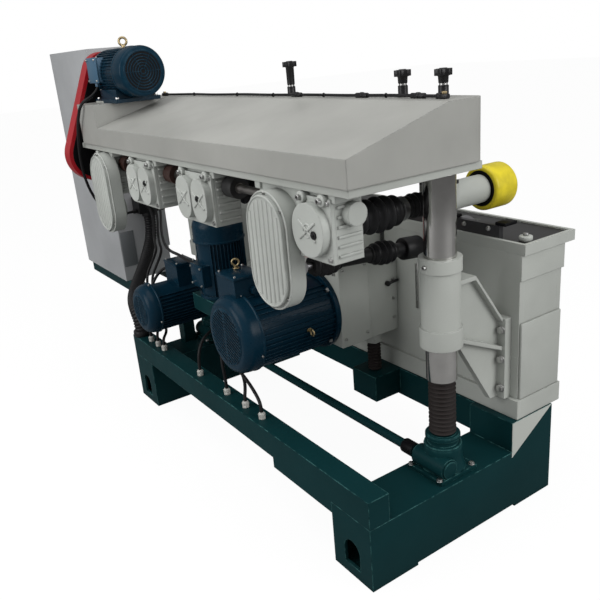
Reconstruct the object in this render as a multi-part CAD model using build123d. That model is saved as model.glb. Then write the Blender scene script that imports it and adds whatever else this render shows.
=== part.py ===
"""Through-feed spindle moulder, seen from its drive side.  Millimetres, +Z up.

The origin is on the floor, midway between the two feet.  +X runs along the machine towards the outfeed end,
-Y is the drive side with the motors, +Y the operator's side with the table.
"""
from build123d import *
import math
import os

# Clearances and fits
running_fit = 0.05
slide_gap = 0.3
free_gap = 0.5

# Feet and beams of the base
base_length = 1816
foot_width = 192
foot_depth = 848
foot_height = 228
foot_wall = 12
foot_floor = 20
foot_pad = 190
foot_relief = 10
anchor_inset = 64
anchor_hole_radius = 9
arch_width = 76
arch_low = 38
arch_high = 135
screw_hole_gap = 10
front_beam_depth = 80
front_beam_height = 98
front_beam_wall = 8
deep_part_start = 370
deep_part_drop = 41
rear_beam_depth = 189
rear_beam_drop = 116
rear_post_depth = 209
rear_post_height = 113
bracket_width = 145
bracket_depth = 130
bracket_drop = 106

# Bed and table
bed_left = -1200
bed_right = 888
bed_front = 258
bed_depth = 212
bed_wall = 22
skirt_height = 70
skirt_out = 14
cap_height = 89
cap_out = 6
table_height = 960
table_thickness = 36
table_over = 18
table_depth = 252
table_recess = 5
table_rim = 14
fence_thickness = 18
fence_height = 46
fence_end = 116
work_setback = 42
work_depth = 152

# Guide columns, sleeves and lift
column_radius = 50
column_y = -20
column_low_end = 565
sleeve_wall = 12
sleeve_below_table = 280
sleeve_above_table = 13
top_collar_out = 5
top_collar_height = 43
low_collar_out = 6
low_collar_height = 65
flange_thickness = 30
flange_below_table = 255
flange_inner = 70
flange_outer = 46
web_half = 12
web_toe = 30
rib_half = 36
rib_thickness = 14
rib_spacing = 100
flange_bolt_radius = 14
flange_bolt_head = 10
flange_bolt_inset = 15
flange_bolt_end = 40
lift_screw_radius = 16
lift_screw_low = 130
lift_screw_grip = 35
lift_shaft_radius = 17
lift_shaft_rise = 40
lift_shaft_offset = 42
lift_shaft_over = 74
lift_coupling_out = 7
lift_coupling_length = 52
lift_coupling_gap = 10
jack_base_half = 78
jack_base_thickness = 15
jack_body_radius = 62
jack_body_height = 87
jack_neck_radius = 46
jack_neck_height = 38
worm_case_radius = 36
worm_case_inset = 8
worm_case_margin = 9
bellows_radius = 45
bellows_root = 38
bellows_bore = 30
bellows_ribs = 13

# Feed beam
work_room = 75
roller_radius = 75
beam_rise = 135
beam_left = -1234
beam_right = 870
beam_front = -403
beam_depth = 518
beam_skirt = 80
beam_height = 183
beam_shoulder_depth = 368
beam_wall = 3
beam_corner = 40
motor_seat_length = 264
casting_thickness = 23
casting_inset = 8
casting_over = 16
casting_ribs_x = (-1100, -420, 300, 640)
casting_rib_width = 30
casting_rib_depth = 90

# Feed gearboxes and their covers
unit_1_x = -536
unit_2_x = -42
unit_3_x = 690
gearbox_half = 125
gearbox_end = 82
gearbox_before_shaft = 55
gearbox_depth = 95
gearbox_drop = 88
gearbox_rib_step = 28
gearbox_rib_count = 6
gearbox_rib_start = 17
gearbox_rib_height = 8
gearbox_rib_out = 6
output_boss_radius = 40
output_boss_length = 25
shaft_cap_radius = 34
shaft_cap_length = 31
cover_depth = 40
cover_rim = 14
cover_top_gap = 14
cover_joint = 2
lobe_inset = 6
lobe_low_margin = 8
lobe_high_margin = 22
lobe_bridge_setback = 12
drop_radius = 110
drop_depth = 65
drop_rim = 12
drop_right_low = 165
drop_right_high = 11
drop_left_x = -955
drop_left_low = 154
drop_left_high = 2
drop_left_box_out = 115
drop_left_box_in = 50
drop_boss_radius = 46
drop_boss_length = 30

# Line shaft
line_shaft_y = -320
line_shaft_rise = 50
line_shaft_radius = 14
line_shaft_cap_gap = 8
coupling_radius = 38
coupling_length = 64
coupling_gap = 12

# Feed motor, belt and guard
feed_motor_y = -209
feed_motor_rise = 129
feed_motor_radius = 108
feed_motor_cowl_x = -800
feed_motor_length = 380
feed_frame_step = 8
feed_end_step = 2
feed_end_thickness = 14
feed_cowl_length = 100
feed_shaft_radius = 14
feed_shaft_depth = 198
feed_foot_gap = 4
feed_foot_height = 42
feed_foot_drive_inset = 60
feed_foot_cowl_inset = 120
feed_base_half = 95
feed_base_over = 12
feed_base_drive_inset = 10
feed_base_cowl_inset = 95
feed_terminal_width = 120
feed_terminal_inset = 4
feed_terminal_out = 4
feed_terminal_in = 60
feed_terminal_below = 36
feed_terminal_above = 72
guard_width = 80
guard_wall = 4
guard_top_radius = 102
guard_low_radius = 130
guard_low_back = 19
guard_low_rise = 20
guard_hole_gap = 10
motor_pulley_radius = 52
shaft_pulley_radius = 75
pulley_width = 38
pulley_inset = 20
belt_thickness = 8
belt_side_gap = 4

# Feed rollers and their arms
arm_radius = 47
arm_front = 62
arm_length = 228
arm_pad_length = 80
arm_pad_height = 60
post_radius = 20
post_above_beam = 85
roller_shaft_radius = 17
roller_width = 105
shaft_end_inset = 8
tyre_thickness = 15
coupling_shaft_end = 22
first_boot_start = 55
first_boot_length = 125
first_boot_radius = 56
second_boot_start = 203
second_boot_radius = 40
yoke_radius = 30
neck_radius = 24

# Lower cardan shaft and lower roller
cardan_x = 498
cardan_pivot_in = 45
cardan_tilt = 5.0
cardan_trunnion_radius = 24
cardan_trunnion_half = 22
cardan_pin_radius = 12
cardan_pin_length = 70
cardan_tube_start = 50
cardan_tube_radius = 24
cardan_boot_radius = 35
cardan_first_boot_end = 150
cardan_second_boot_start = 300
cardan_second_boot_end = 400
cardan_cup_radius = 40
cardan_cup_bore = 30
cardan_cup_start = 440
cardan_cup_floor = 10
cardan_length = 520
lower_roller_radius = 58
lower_roller_proud = 1
lower_roller_slot_gap = 5
lower_roller_end_gap = 10
lower_stub_radius = 14
lower_stub_length = 93

# Parts that the spindle motors share
cowl_dome = 45
cowl_dome_step = 30
motor_frame_step = 9
motor_flange_thickness = 18
motor_flange_out = 8
rotor_end_gap = 2

# Main, infeed and side spindle units
main_x = 163
main_below_spindle = 257
main_motor_length = 407
main_motor_radius = 146
main_cowl_length = 74
main_flange_y = -37
main_box_half = 150
main_box_below = 128
main_box_above = 194
main_box_depth = 139
main_back_half = 133
main_back_below = 136
main_back_above = 179
main_wall = 12
main_shaft_radius = 19
main_shaft_depth = 158
main_terminal_left = 100
main_terminal_right = 30
main_terminal_start = 40
main_terminal_length = 115
main_terminal_rise = 204
main_screw_x = 250
main_screw_back = 93
main_screw_radius = 14
main_collar_radius = 32
main_collar_height = 40
main_screw_stub = 22
main_bellows_ribs = 9
main_bellows_radius = 28
main_bellows_root = 22
main_bellows_gap = 3
spindle_radius = 20
spindle_end_gap = 6
quill_radius = 46
cutter_radius = 62
cutter_front_gap = 4
cutter_rear_gap = 10
cutter_slot_gap = 8
main_pulley_radius = 50
spindle_pulley_radius = 42
head_belt_front = -22
head_belt_width = 34
head_belt_thickness = 4
head_belt_side_gap = 2
head_guard_half = 64
head_guard_rear = 34
head_guard_above = 60
head_guard_wall = 4
infeed_from_column = 171
infeed_rise = 123
infeed_motor_length = 423
infeed_motor_radius = 113
infeed_cowl_length = 60
infeed_flange_y = -35
infeed_box_half = 92
infeed_box_above = 106
infeed_shaft_radius = 14
infeed_shaft_depth = 138
infeed_terminal_half = 65
infeed_terminal_start = 173
infeed_terminal_length = 100
infeed_terminal_rise = 179
head_drop = 20
side_x = -285
side_y = -200
side_motor_radius = 105
side_motor_below_table = 320
side_motor_height = 340
side_cowl_length = 100
side_end_thickness = 14
side_terminal_half = 50
side_terminal_out = 10
side_terminal_in = 60
side_terminal_low = 60
side_terminal_height = 90
side_shelf_depth = 70
side_shelf_half = 104
side_shelf_end = 20
side_plate_lap = 30
side_plate_thickness = 24
side_plate_below_housing = 60
side_housing_radius = 38
side_housing_below_table = 45
side_shaft_radius = 14
side_shaft_depth = 138
side_spindle_radius = 16
side_pulley_low = 16
side_pulley_gap = 6
side_cutter_radius = 44
side_cutter_proud = 4
side_cutter_above_table = 8
side_cutter_height = 72
side_hole_gap = 12
side_drop = 5

# Knobs on the feed beam
knob_y = 62
knob_1_x = -41
knob_2_x = 581
knob_3_x = 754
knob_stem_radius = 7
knob_stem_below = 33
knob_collar_radius = 17
knob_collar_height = 20
knob_neck_radius = 15
knob_head_radius = 27
knob_head_rises = (105, 61, 61)
knob_head_height = 21

# Electrical cabinet
cabinet_left = -2221
cabinet_right = -1551
cabinet_front = -191
cabinet_depth = 291
cabinet_low = 400
cabinet_top = 1681
cabinet_wall = 4
door_low = 548
door_thickness = 20
door_margin = 24
door_rim = 14
hinge_pin_radius = 5
hinge_knuckle_radius = 9
hinge_out = 7
hinge_lug_out = 16
hinge_lug_in = 1
hinge_lug_height = 30
hinge_pin_height = 40
hinge_low = 120
hinge_high = 220
hinge_leaf_length = 40
hinge_leaf_thickness = 5
hinge_side_gap = 14
latch_radius = 18
latch_out = 14
latch_inset = 45
arm_size = 60
arm_front_y = -150
arm_rear_y = 110
arm_tip_inset = 41
arm_post_inset = 6
cable_box_out = 100
cable_box_front = -82
cable_box_depth = 152
cable_box_low = 792
cable_box_height = 88

# Cables, conduit and hoses
glands_x = (-758, -676, -608, -241, -7, 139, 258)
gland_setback = 36
gland_radius = 13
gland_height = 26
gland_stem_radius = 9
lead_diameter = 13
cable_diameter = 14
conduit_diameter = 66
conduit_root = 56
conduit_bore = 48
conduit_pitch = 15
hose_diameter = 10
hose_lift = 7.5
fitting_size = 24
fitting_height = 14

# Worked out from the sizes above: base
half_length = base_length / 2
half_depth = foot_depth / 2
foot_mid = half_length - foot_width / 2
foot_inner = half_length - foot_width
both_feet = (-foot_mid, foot_mid)
front_beam_top = foot_height + front_beam_height
front_beam_back = front_beam_depth - half_depth
rear_beam_front = half_depth - rear_beam_depth
rear_post_front = half_depth - rear_post_depth
rear_top = foot_height + rear_post_height
anchor_y = half_depth - anchor_inset
gland_y = gland_setback - half_depth

# Worked out: bed, table and the heights that follow the table
bed_rear = bed_front + bed_depth
bed_top = table_height - table_thickness
bed_room_y = (bed_front + bed_wall, bed_rear - bed_wall)
skirt_top = rear_top + skirt_height
table_left = bed_left - table_over
table_right = bed_right + table_over
table_rear = bed_front + table_depth
table_floor = table_height - table_recess
fence_front = bed_front + table_rim
fence_rear = fence_front + fence_thickness
fence_right = table_right - fence_end
work_front = bed_front + work_setback
work_rear = work_front + work_depth
carriage_back = bed_front - slide_gap
unit_z = table_height + work_room + roller_radius
unit_places = (unit_1_x, unit_2_x, unit_3_x)
spindle_z = table_height - cutter_radius
lower_roller_z = table_height + lower_roller_proud - lower_roller_radius

# Worked out: lift
sleeve_radius = column_radius + sleeve_wall
sleeve_low = table_height - sleeve_below_table
sleeve_top = table_height + sleeve_above_table
top_collar_radius = sleeve_radius + top_collar_out
low_collar_radius = sleeve_radius + low_collar_out
flange_top = table_height - flange_below_table
lift_shaft_y = column_y - lift_shaft_offset
lift_shaft_z = foot_height + lift_shaft_rise
jack_base_top = foot_height + jack_base_thickness
jack_shoulder = jack_base_top + jack_body_height
jack_top = jack_shoulder + jack_neck_height

# Worked out: feed beam, gearboxes and feed drive
beam_low = unit_z + beam_rise
beam_top = beam_low + beam_height
beam_skirt_top = beam_low + beam_skirt
beam_rear = beam_front + beam_depth
beam_shoulder = beam_front + beam_shoulder_depth
beam_slope = (beam_top - beam_skirt_top) / (beam_shoulder - beam_front)
casting_low = beam_low - casting_thickness
casting_front = beam_front + casting_inset
casting_rear = beam_rear - casting_inset
casting_left = beam_left - casting_over
casting_right = beam_right - casting_inset
line_shaft_z = unit_z + line_shaft_rise
gearbox_front = line_shaft_y - gearbox_before_shaft
gearbox_rear = gearbox_front + gearbox_depth
gearbox_low = unit_z - gearbox_drop
gearbox_spans = (
    (drop_left_x - drop_left_box_out, drop_left_x + drop_left_box_in),
    (unit_1_x - gearbox_half, unit_1_x + gearbox_half),
    (unit_2_x - gearbox_half, unit_2_x + gearbox_half),
    (cardan_x - drop_radius, unit_3_x + gearbox_end),
)
gearboxes_right = gearbox_spans[-1][1]
line_shaft_end = gearboxes_right + shaft_cap_length - line_shaft_cap_gap
boss_face = gearbox_rear + output_boss_length
cover_y = (gearbox_front - cover_depth, gearbox_front)
cover_rim_y = (gearbox_front - cover_rim, gearbox_front)
drop_front = gearbox_front - drop_depth
cardan_z = unit_z - drop_right_low
cardan_pivot_y = gearbox_front + cardan_pivot_in
drop_cases = (
    (cardan_x, cardan_z, unit_z - drop_right_high),
    (drop_left_x, unit_z - drop_left_low, unit_z - drop_left_high),
)
feed_motor_z = beam_top + feed_motor_rise
feed_drive_x = feed_motor_cowl_x - feed_motor_length
guard_right = casting_left
guard_left = guard_right - guard_width
pulley_left = guard_left + pulley_inset
pulley_right = pulley_left + pulley_width
arm_rear = arm_front + arm_length
post_y = arm_front
roller_front = arm_rear + free_gap
roller_rear = roller_front + roller_width

# Worked out: spindle units
main_z = spindle_z - main_below_spindle
main_motor_front = main_flange_y - main_motor_length
main_step_y = main_flange_y + main_box_depth
main_box_x = (main_x - main_box_half, main_x + main_box_half)
main_box_low = main_z - main_box_below
main_box_top = main_z + main_box_above
main_back_low = main_z - main_back_below
main_back_top = main_z + main_back_above
main_screw_y = bed_front - main_screw_back
head_belt_rear = head_belt_front + head_belt_width
head_guard_top = spindle_z + head_guard_above
cutter_y = (work_front + cutter_front_gap, work_rear - cutter_rear_gap)
cutter_slot_half = cutter_radius + cutter_slot_gap
infeed_x = infeed_from_column - foot_mid
infeed_z = skirt_top + infeed_rise
infeed_motor_front = infeed_flange_y - infeed_motor_length
infeed_box_low = skirt_top + head_drop + free_gap
infeed_box_top = infeed_z + infeed_box_above
side_motor_low = table_height - side_motor_below_table
side_motor_top = side_motor_low + side_motor_height
side_shelf_low = side_motor_low - side_shelf_depth
side_housing_top = table_height - side_housing_below_table
side_spindle_y = fence_rear + side_cutter_proud - side_cutter_radius
side_hole_radius = side_cutter_radius + side_hole_gap

# Worked out: knobs, cabinet and cable box
knob_places = (knob_1_x, knob_2_x, knob_3_x)
cabinet_rear = cabinet_front + cabinet_depth
hinge_x = cabinet_left + door_margin
hinge_y = cabinet_rear + door_thickness + hinge_out
cable_box_x = (cabinet_right, cabinet_right + cable_box_out)
cable_box_y = (cable_box_front, cable_box_front + cable_box_depth)
cable_box_z = (cable_box_low, cable_box_low + cable_box_height)

nodes = {}


def block(xs, ys, zs):
    """A box between three pairs of limits."""
    middle = [(low + high) / 2 for low, high in (xs, ys, zs)]
    size = [high - low for low, high in (xs, ys, zs)]
    return Pos(*middle) * Box(*size)


def about(middle, half):
    """The two limits of a width about its middle."""
    return (middle - half, middle + half)


def rod_x(xs, y, z, radius):
    """A round bar along X."""
    return Pos((xs[0] + xs[1]) / 2, y, z) * Rot(0, 90, 0) * Cylinder(radius, xs[1] - xs[0])


def rod_y(x, ys, z, radius):
    """A round bar along Y."""
    return Pos(x, (ys[0] + ys[1]) / 2, z) * Rot(90, 0, 0) * Cylinder(radius, ys[1] - ys[0])


def rod_z(x, y, zs, radius):
    """An upright round bar."""
    return Pos(x, y, (zs[0] + zs[1]) / 2) * Cylinder(radius, zs[1] - zs[0])


def plate_yz(xs, outline):
    """A plate with an outline of (y, z) points, between two X limits."""
    corners = [(xs[0], y, z) for y, z in outline]
    return extrude(make_face(Polyline(*corners, close=True)), amount=xs[1] - xs[0], dir=(1, 0, 0))


def slot_y(x, ys, zs, radius):
    """An upright slot shape, round at both ends, along Y."""
    straight = block(about(x, radius), ys, zs)
    return straight + rod_y(x, ys, zs[0], radius) + rod_y(x, ys, zs[1], radius)


def belt_outline(x, first, second, grow):
    """The outline of a belt round two circles (y, z, radius), as a face at X."""
    (y1, z1, r1), (y2, z2, r2) = first, second
    r1, r2 = r1 + grow, r2 + grow
    span = math.hypot(y2 - y1, z2 - z1)
    along = math.atan2(z2 - z1, y2 - y1)
    spread = math.acos((r1 - r2) / span)
    left, right = along + spread, along - spread

    def at(y, z, r, angle):
        return (x, y + r * math.cos(angle), z + r * math.sin(angle))

    edges = [
        Line(at(y1, z1, r1, right), at(y2, z2, r2, right)),
        ThreePointArc(at(y2, z2, r2, right), at(y2, z2, r2, along), at(y2, z2, r2, left)),
        Line(at(y2, z2, r2, left), at(y1, z1, r1, left)),
        ThreePointArc(at(y1, z1, r1, left), at(y1, z1, r1, along + math.pi), at(y1, z1, r1, right)),
    ]
    return make_face(edges)


def belt_prism(xs, first, second, grow):
    """A prism with a belt outline between two X limits."""
    return extrude(belt_outline(xs[0], first, second, grow), amount=xs[1] - xs[0], dir=(1, 0, 0))


def route(points, name):
    """A path of straight runs and the largest arcs that they leave room for."""
    steps = [Vector(*b) - Vector(*a) for a, b in zip(points, points[1:])]
    radii = []
    for before, after in zip(steps, steps[1:]):
        half_turn = math.radians(before.get_angle(after)) / 2
        radii.append(0.45 * min(before.length, after.length) / math.tan(half_turn))
    path = FilletPolyline(*points, radius=radii)
    print(name, "length", round(path.length), "tightest bend", round(min(radii)))
    return path


def cord(points, diameter, name):
    """A plain tube along a route."""
    path = route(points, name)
    section = Plane(origin=path @ 0, z_dir=path % 0) * Circle(diameter / 2)
    tube = sweep(section, path=path)
    expected = math.pi * diameter ** 2 / 4 * path.length
    print(name, "volume against section times length", round(tube.volume / expected, 4))
    return tube


def ribbed_column(x, y, zs, ribs, outer, root, bore):
    """Upright bellows with a bore."""
    pitch = (zs[1] - zs[0]) / ribs
    sections = []
    for rib in range(ribs):
        low = zs[0] + rib * pitch
        for share, radius in ((0.0, root), (0.35, outer), (0.6, outer), (0.95, root)):
            sections.append(Pos(x, y, low + share * pitch) * Circle(radius))
    sections.append(Pos(x, y, zs[1]) * Circle(root))
    return loft(sections, ruled=True) - rod_z(x, y, zs, bore)


def domed_cowl(length, radius):
    """A fan cowl that stands on its open end and draws in at its far end."""
    band = length - cowl_dome
    dome = Pos(0, 0, band + cowl_dome / 2) * Cone(radius, radius - cowl_dome_step, cowl_dome)
    return Pos(0, 0, band / 2) * Cylinder(radius, band) + dome


def spindle_motor(x, z, ys, radius, cowl_length):
    """A flange motor along Y with its fan cowl at the -Y end."""
    cowl_y = ys[0] + cowl_length
    flange_front = ys[1] - motor_flange_thickness
    body = Pos(x, cowl_y, z) * Rot(90, 0, 0) * domed_cowl(cowl_length, radius)
    body += rod_y(x, (cowl_y, flange_front), z, radius - motor_frame_step)
    body += rod_y(x, (flange_front, ys[1]), z, radius + motor_flange_out)
    return body


# Feet: two hollow welded boxes with pads at their ends and a post for the bed at the back
for name, middle in (("foot_left", -foot_mid), ("foot_right", foot_mid)):
    across = about(middle, foot_width / 2)
    inside = (across[0] + foot_wall, across[1] - foot_wall)
    foot = block(across, (-half_depth, half_depth), (0, foot_height))
    foot += block(across, (rear_post_front, half_depth), (foot_height, rear_top))
    inside_y = (foot_wall - half_depth, half_depth - foot_wall)
    foot -= block(inside, inside_y, (foot_floor, foot_height - foot_wall))
    post_inside = (rear_post_front + foot_wall, half_depth - foot_wall)
    foot -= block(inside, post_inside, (foot_height - foot_wall, rear_top - foot_wall))
    foot -= block(across, (foot_pad - half_depth, half_depth - foot_pad), (0, foot_relief))
    arch_spring = arch_high - arch_width / 2
    end_wall = (-half_depth, foot_wall - half_depth)
    foot -= block(about(middle, arch_width / 2), end_wall, (arch_low, arch_spring))
    foot -= rod_y(middle, end_wall, arch_spring, arch_width / 2)
    for anchor in (-anchor_y, anchor_y):
        foot -= rod_z(middle, anchor, (0, foot_floor), anchor_hole_radius)
    screw_hole = lift_screw_radius + screw_hole_gap
    foot -= rod_z(middle, column_y, (foot_height - foot_wall, foot_height), screw_hole)
    nodes[name] = foot

# Front beam: a folded channel on both feet, open below, deeper beside the right foot
beam_ys = (-half_depth, front_beam_back)
beam_inside = (beam_ys[0] + front_beam_wall, beam_ys[1] - front_beam_wall)
deep_low = foot_height - deep_part_drop
roof_low = front_beam_top - front_beam_wall
front_beam = block((-half_length, half_length), beam_ys, (foot_height, front_beam_top))
front_beam += block((deep_part_start, foot_inner), beam_ys, (deep_low, foot_height))
front_beam -= block((-foot_inner, deep_part_start), beam_inside, (foot_height, roof_low))
front_beam -= block((deep_part_start, foot_inner - front_beam_wall), beam_inside, (deep_low, roof_low))
for place in glands_x:
    front_beam -= rod_z(place, gland_y, (roof_low, front_beam_top), gland_stem_radius)
nodes["front_beam"] = front_beam

# Rear beam between the posts, with the bracket that carries the main head's screw
rear_low = rear_top - rear_beam_drop
bracket_z = (rear_top - bracket_drop, rear_top)
rear_beam = block((-foot_inner, foot_inner), (rear_beam_front, half_depth), (rear_low, rear_top))
rear_inside_y = (rear_beam_front + foot_wall, half_depth - foot_wall)
rear_beam -= block((-foot_inner, foot_inner), rear_inside_y, (rear_low + foot_wall, rear_top - foot_wall))
bracket_y = (rear_beam_front - bracket_depth, rear_beam_front)
rear_beam += block(about(main_screw_x, bracket_width / 2), bracket_y, bracket_z)
rear_beam -= rod_z(main_screw_x, main_screw_y, bracket_z, main_screw_radius + slide_gap)
nodes["rear_beam"] = rear_beam

# Bed: floor, walls and strips of a fabricated trough, with windows for the heads in its front wall
bed_x = (bed_left, bed_right)
wall_z = (rear_top + bed_wall, bed_top)
front_y = (bed_front, bed_room_y[0])
side_window = about(side_x, side_shelf_half + free_gap)
side_window_low = side_shelf_low - side_drop - free_gap
cutter_window_low = spindle_z - head_drop - cutter_radius - cutter_slot_gap
cutter_windows = [about(place, cutter_slot_half) for place in (infeed_x, main_x)]
windows = sorted(cutter_windows + [side_window])
panel_starts = [bed_left] + [window[1] for window in windows]
panel_ends = [window[0] for window in windows] + [bed_right]
bed = [
    block(bed_x, (bed_front, bed_rear), (rear_top, wall_z[0])),
    block(bed_x, (bed_room_y[1], bed_rear), wall_z),
    block((bed_left, bed_left + bed_wall), bed_room_y, wall_z),
    block((bed_right - bed_wall, bed_right), bed_room_y, wall_z),
    block(bed_x, front_y, (wall_z[0], side_window_low)),
]
for window in cutter_windows:
    bed.append(block(window, front_y, (side_window_low, cutter_window_low)))
for panel_x in zip(panel_starts, panel_ends):
    panel = block(panel_x, front_y, (side_window_low, bed_top))
    if panel_x[0] < cardan_x < panel_x[1]:
        panel -= rod_y(cardan_x, front_y, lower_roller_z, lower_stub_radius + running_fit)
    bed.append(panel)
skirt_z = (rear_top, skirt_top)
cap_z = (bed_top - cap_height, bed_top)
bed.append(block((bed_left, bed_right + skirt_out), (bed_front - skirt_out, bed_front), skirt_z))
bed.append(block((bed_right, bed_right + skirt_out), (bed_front, bed_rear), skirt_z))
bed.append(block((bed_left, bed_right + cap_out), (bed_rear, bed_rear + cap_out), cap_z))
bed.append(block((bed_right, bed_right + cap_out), (bed_front, bed_rear), cap_z))
nodes["bed"] = Compound(children=bed)

# Table: rails and plates with gaps for the cutters, a raised rim and the guide fence
table_z = (bed_top, table_floor)
rim_z = (table_floor, table_height)
fence_y = (fence_front, fence_rear)
fence_z = (table_floor, table_floor + fence_height)
lower_slot = about(cardan_x, lower_roller_radius + lower_roller_slot_gap)
slots = sorted(cutter_windows + [lower_slot])
side_gap = about(side_x, side_hole_radius)
table = [block((table_left, table_right), (bed_room_y[1], table_rear), table_z)]
plate_starts = [table_left] + [slot[1] for slot in slots]
plate_ends = [slot[0] for slot in slots] + [table_right]
for plate_x in zip(plate_starts, plate_ends):
    table.append(block(plate_x, (work_front, bed_room_y[1]), table_z))
rim_inside = (table_left + table_rim, table_right - table_rim)
for rail_x in ((table_left, side_gap[0]), (side_gap[1], table_right)):
    table.append(block(rail_x, (bed_front, work_front), table_z))
    strip_x = (max(rail_x[0], rim_inside[0]), min(rail_x[1], rim_inside[1]))
    table.append(block(strip_x, (bed_front, fence_front), rim_z))
    table.append(block((strip_x[0], min(strip_x[1], fence_right)), fence_y, fence_z))
table.append(block(rim_inside, (table_rear - table_rim, table_rear), rim_z))
table.append(block((table_left, rim_inside[0]), (bed_front, table_rear), rim_z))
table.append(block((rim_inside[1], table_right), (bed_front, table_rear), rim_z))
nodes["table_plate"] = Compound(children=table)

# Arms from the left foot to the cabinet
arms = []
post_start = arm_post_inset - half_length
for place in (arm_front_y, arm_rear_y):
    arm_y = about(place, arm_size / 2)
    arm_x = (cabinet_left + arm_tip_inset, post_start + arm_size)
    arm = block(arm_x, arm_y, (cabinet_low - arm_size, cabinet_low))
    arm += block((post_start, post_start + arm_size), arm_y, (foot_height, cabinet_low - arm_size))
    arms.append(arm)
nodes["cabinet_arms"] = Compound(children=arms)

# Screw jacks on the feet, with the worm case beside the screw
jacks = []
for middle in both_feet:
    base_x = about(middle, jack_base_half)
    base_front = lift_shaft_y - worm_case_radius - worm_case_margin
    jack = block(base_x, (base_front, column_y + jack_base_half), (foot_height, jack_base_top))
    jack += rod_z(middle, column_y, (jack_base_top, jack_shoulder), jack_body_radius)
    jack += rod_z(middle, column_y, (jack_shoulder, jack_top), jack_neck_radius)
    worm_x = about(middle, jack_base_half - worm_case_inset)
    jack += rod_x(worm_x, lift_shaft_y, lift_shaft_z, worm_case_radius)
    jack -= rod_z(middle, column_y, (foot_height, jack_top), lift_screw_radius + slide_gap)
    jack -= rod_x(base_x, lift_shaft_y, lift_shaft_z, lift_shaft_radius + running_fit)
    jacks.append(jack)
nodes["lift_jacks"] = Compound(children=jacks)

# Cross shaft that turns both jacks together, with a coupling beside each jack
lift_shaft = rod_x(about(0, foot_mid + lift_shaft_over), lift_shaft_y, lift_shaft_z, lift_shaft_radius)
coupling_far = foot_mid - jack_base_half - lift_coupling_gap
coupling_near = coupling_far - lift_coupling_length
for coupling_x in ((-coupling_far, -coupling_near), (coupling_near, coupling_far)):
    lift_shaft += rod_x(coupling_x, lift_shaft_y, lift_shaft_z, lift_shaft_radius + lift_coupling_out)
nodes["lift_shaft"] = lift_shaft

# Guide columns, the lift screws fixed in their lower ends, and the bellows round the screws
columns, screws, bellows = [], [], []
grip_z = (column_low_end, column_low_end + lift_screw_grip)
bellows_z = (jack_top, column_low_end)
for middle in both_feet:
    column = rod_z(middle, column_y, (column_low_end, casting_low), column_radius)
    columns.append(column - rod_z(middle, column_y, grip_z, lift_screw_radius + running_fit))
    screws.append(rod_z(middle, column_y, (lift_screw_low, grip_z[1]), lift_screw_radius))
    sizes = (bellows_ribs, bellows_radius, bellows_root, bellows_bore)
    bellows.append(ribbed_column(middle, column_y, bellows_z, *sizes))
nodes["guide_columns"] = Compound(children=columns)
nodes["lift_screws"] = Compound(children=screws)
nodes["column_bellows"] = Compound(children=bellows)

# Column sleeves with their brackets on the drive side of the bed, and the bracket bolts
sleeves, bolts = [], []
web_start = column_y + column_radius
flange_face = bed_front - flange_thickness
flange_z = (skirt_top, flange_top)
shelf_top = flange_top - rib_spacing
rib_top = sleeve_top - 2 * top_collar_height
rib_knee = web_start + low_collar_radius
bolt_heights = (skirt_top + flange_bolt_end, (skirt_top + flange_top) / 2, flange_top - flange_bolt_end)
web_outline = [
    (web_start, rib_top), (rib_knee, rib_top), (flange_face, flange_top), (flange_face, skirt_top),
    (flange_face - web_toe, skirt_top), (web_start, sleeve_low)]
slope_outline = [
    (rib_knee, rib_top), (flange_face, flange_top), (flange_face, flange_top - rib_thickness),
    (rib_knee, rib_top - rib_thickness)]
shelf_outline = [
    (web_start, sleeve_low + rib_thickness), (flange_face, shelf_top),
    (flange_face, shelf_top - rib_thickness), (web_start, sleeve_low)]
for middle in both_feet:
    side = math.copysign(1, middle)
    rib_x = about(middle, rib_half)
    sleeve = rod_z(middle, column_y, (sleeve_low, sleeve_top), sleeve_radius)
    sleeve += rod_z(middle, column_y, (sleeve_top - top_collar_height, sleeve_top), top_collar_radius)
    sleeve += rod_z(middle, column_y, (sleeve_low, sleeve_low + low_collar_height), low_collar_radius)
    sleeve += plate_yz(about(middle, web_half), web_outline)
    sleeve += plate_yz(rib_x, slope_outline)
    sleeve += block(rib_x, (web_start, rib_knee), (rib_top - rib_thickness, rib_top))
    sleeve += plate_yz(rib_x, shelf_outline)
    ends = sorted((middle - side * flange_inner, middle + side * flange_outer))
    sleeve += block(ends, (flange_face, bed_front), flange_z)
    sleeve -= rod_z(middle, column_y, (sleeve_low, sleeve_top), column_radius + running_fit)
    sleeves.append(sleeve)
    for x in (ends[0] + flange_bolt_inset, ends[1] - flange_bolt_inset):
        for z in bolt_heights:
            bolts.append(rod_y(x, (flange_face - flange_bolt_head, flange_face), z, flange_bolt_radius))
nodes["column_sleeves"] = Compound(children=sleeves)
nodes["sleeve_bolts"] = Compound(children=bolts)

# Beam casting: the plate that carries the gearboxes, on the columns, with ribs under the cover
casting = block((casting_left, casting_right), (casting_front, casting_rear), (casting_low, beam_low))
casting_rib_y = (beam_shoulder + beam_wall, beam_shoulder + casting_rib_depth)
for place in casting_ribs_x:
    casting += block((place, place + casting_rib_width), casting_rib_y, (beam_low, beam_top - beam_wall))
for place in unit_places:
    casting -= rod_z(place, post_y, (casting_low, beam_low), post_radius + running_fit)
nodes["beam_casting"] = casting


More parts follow.
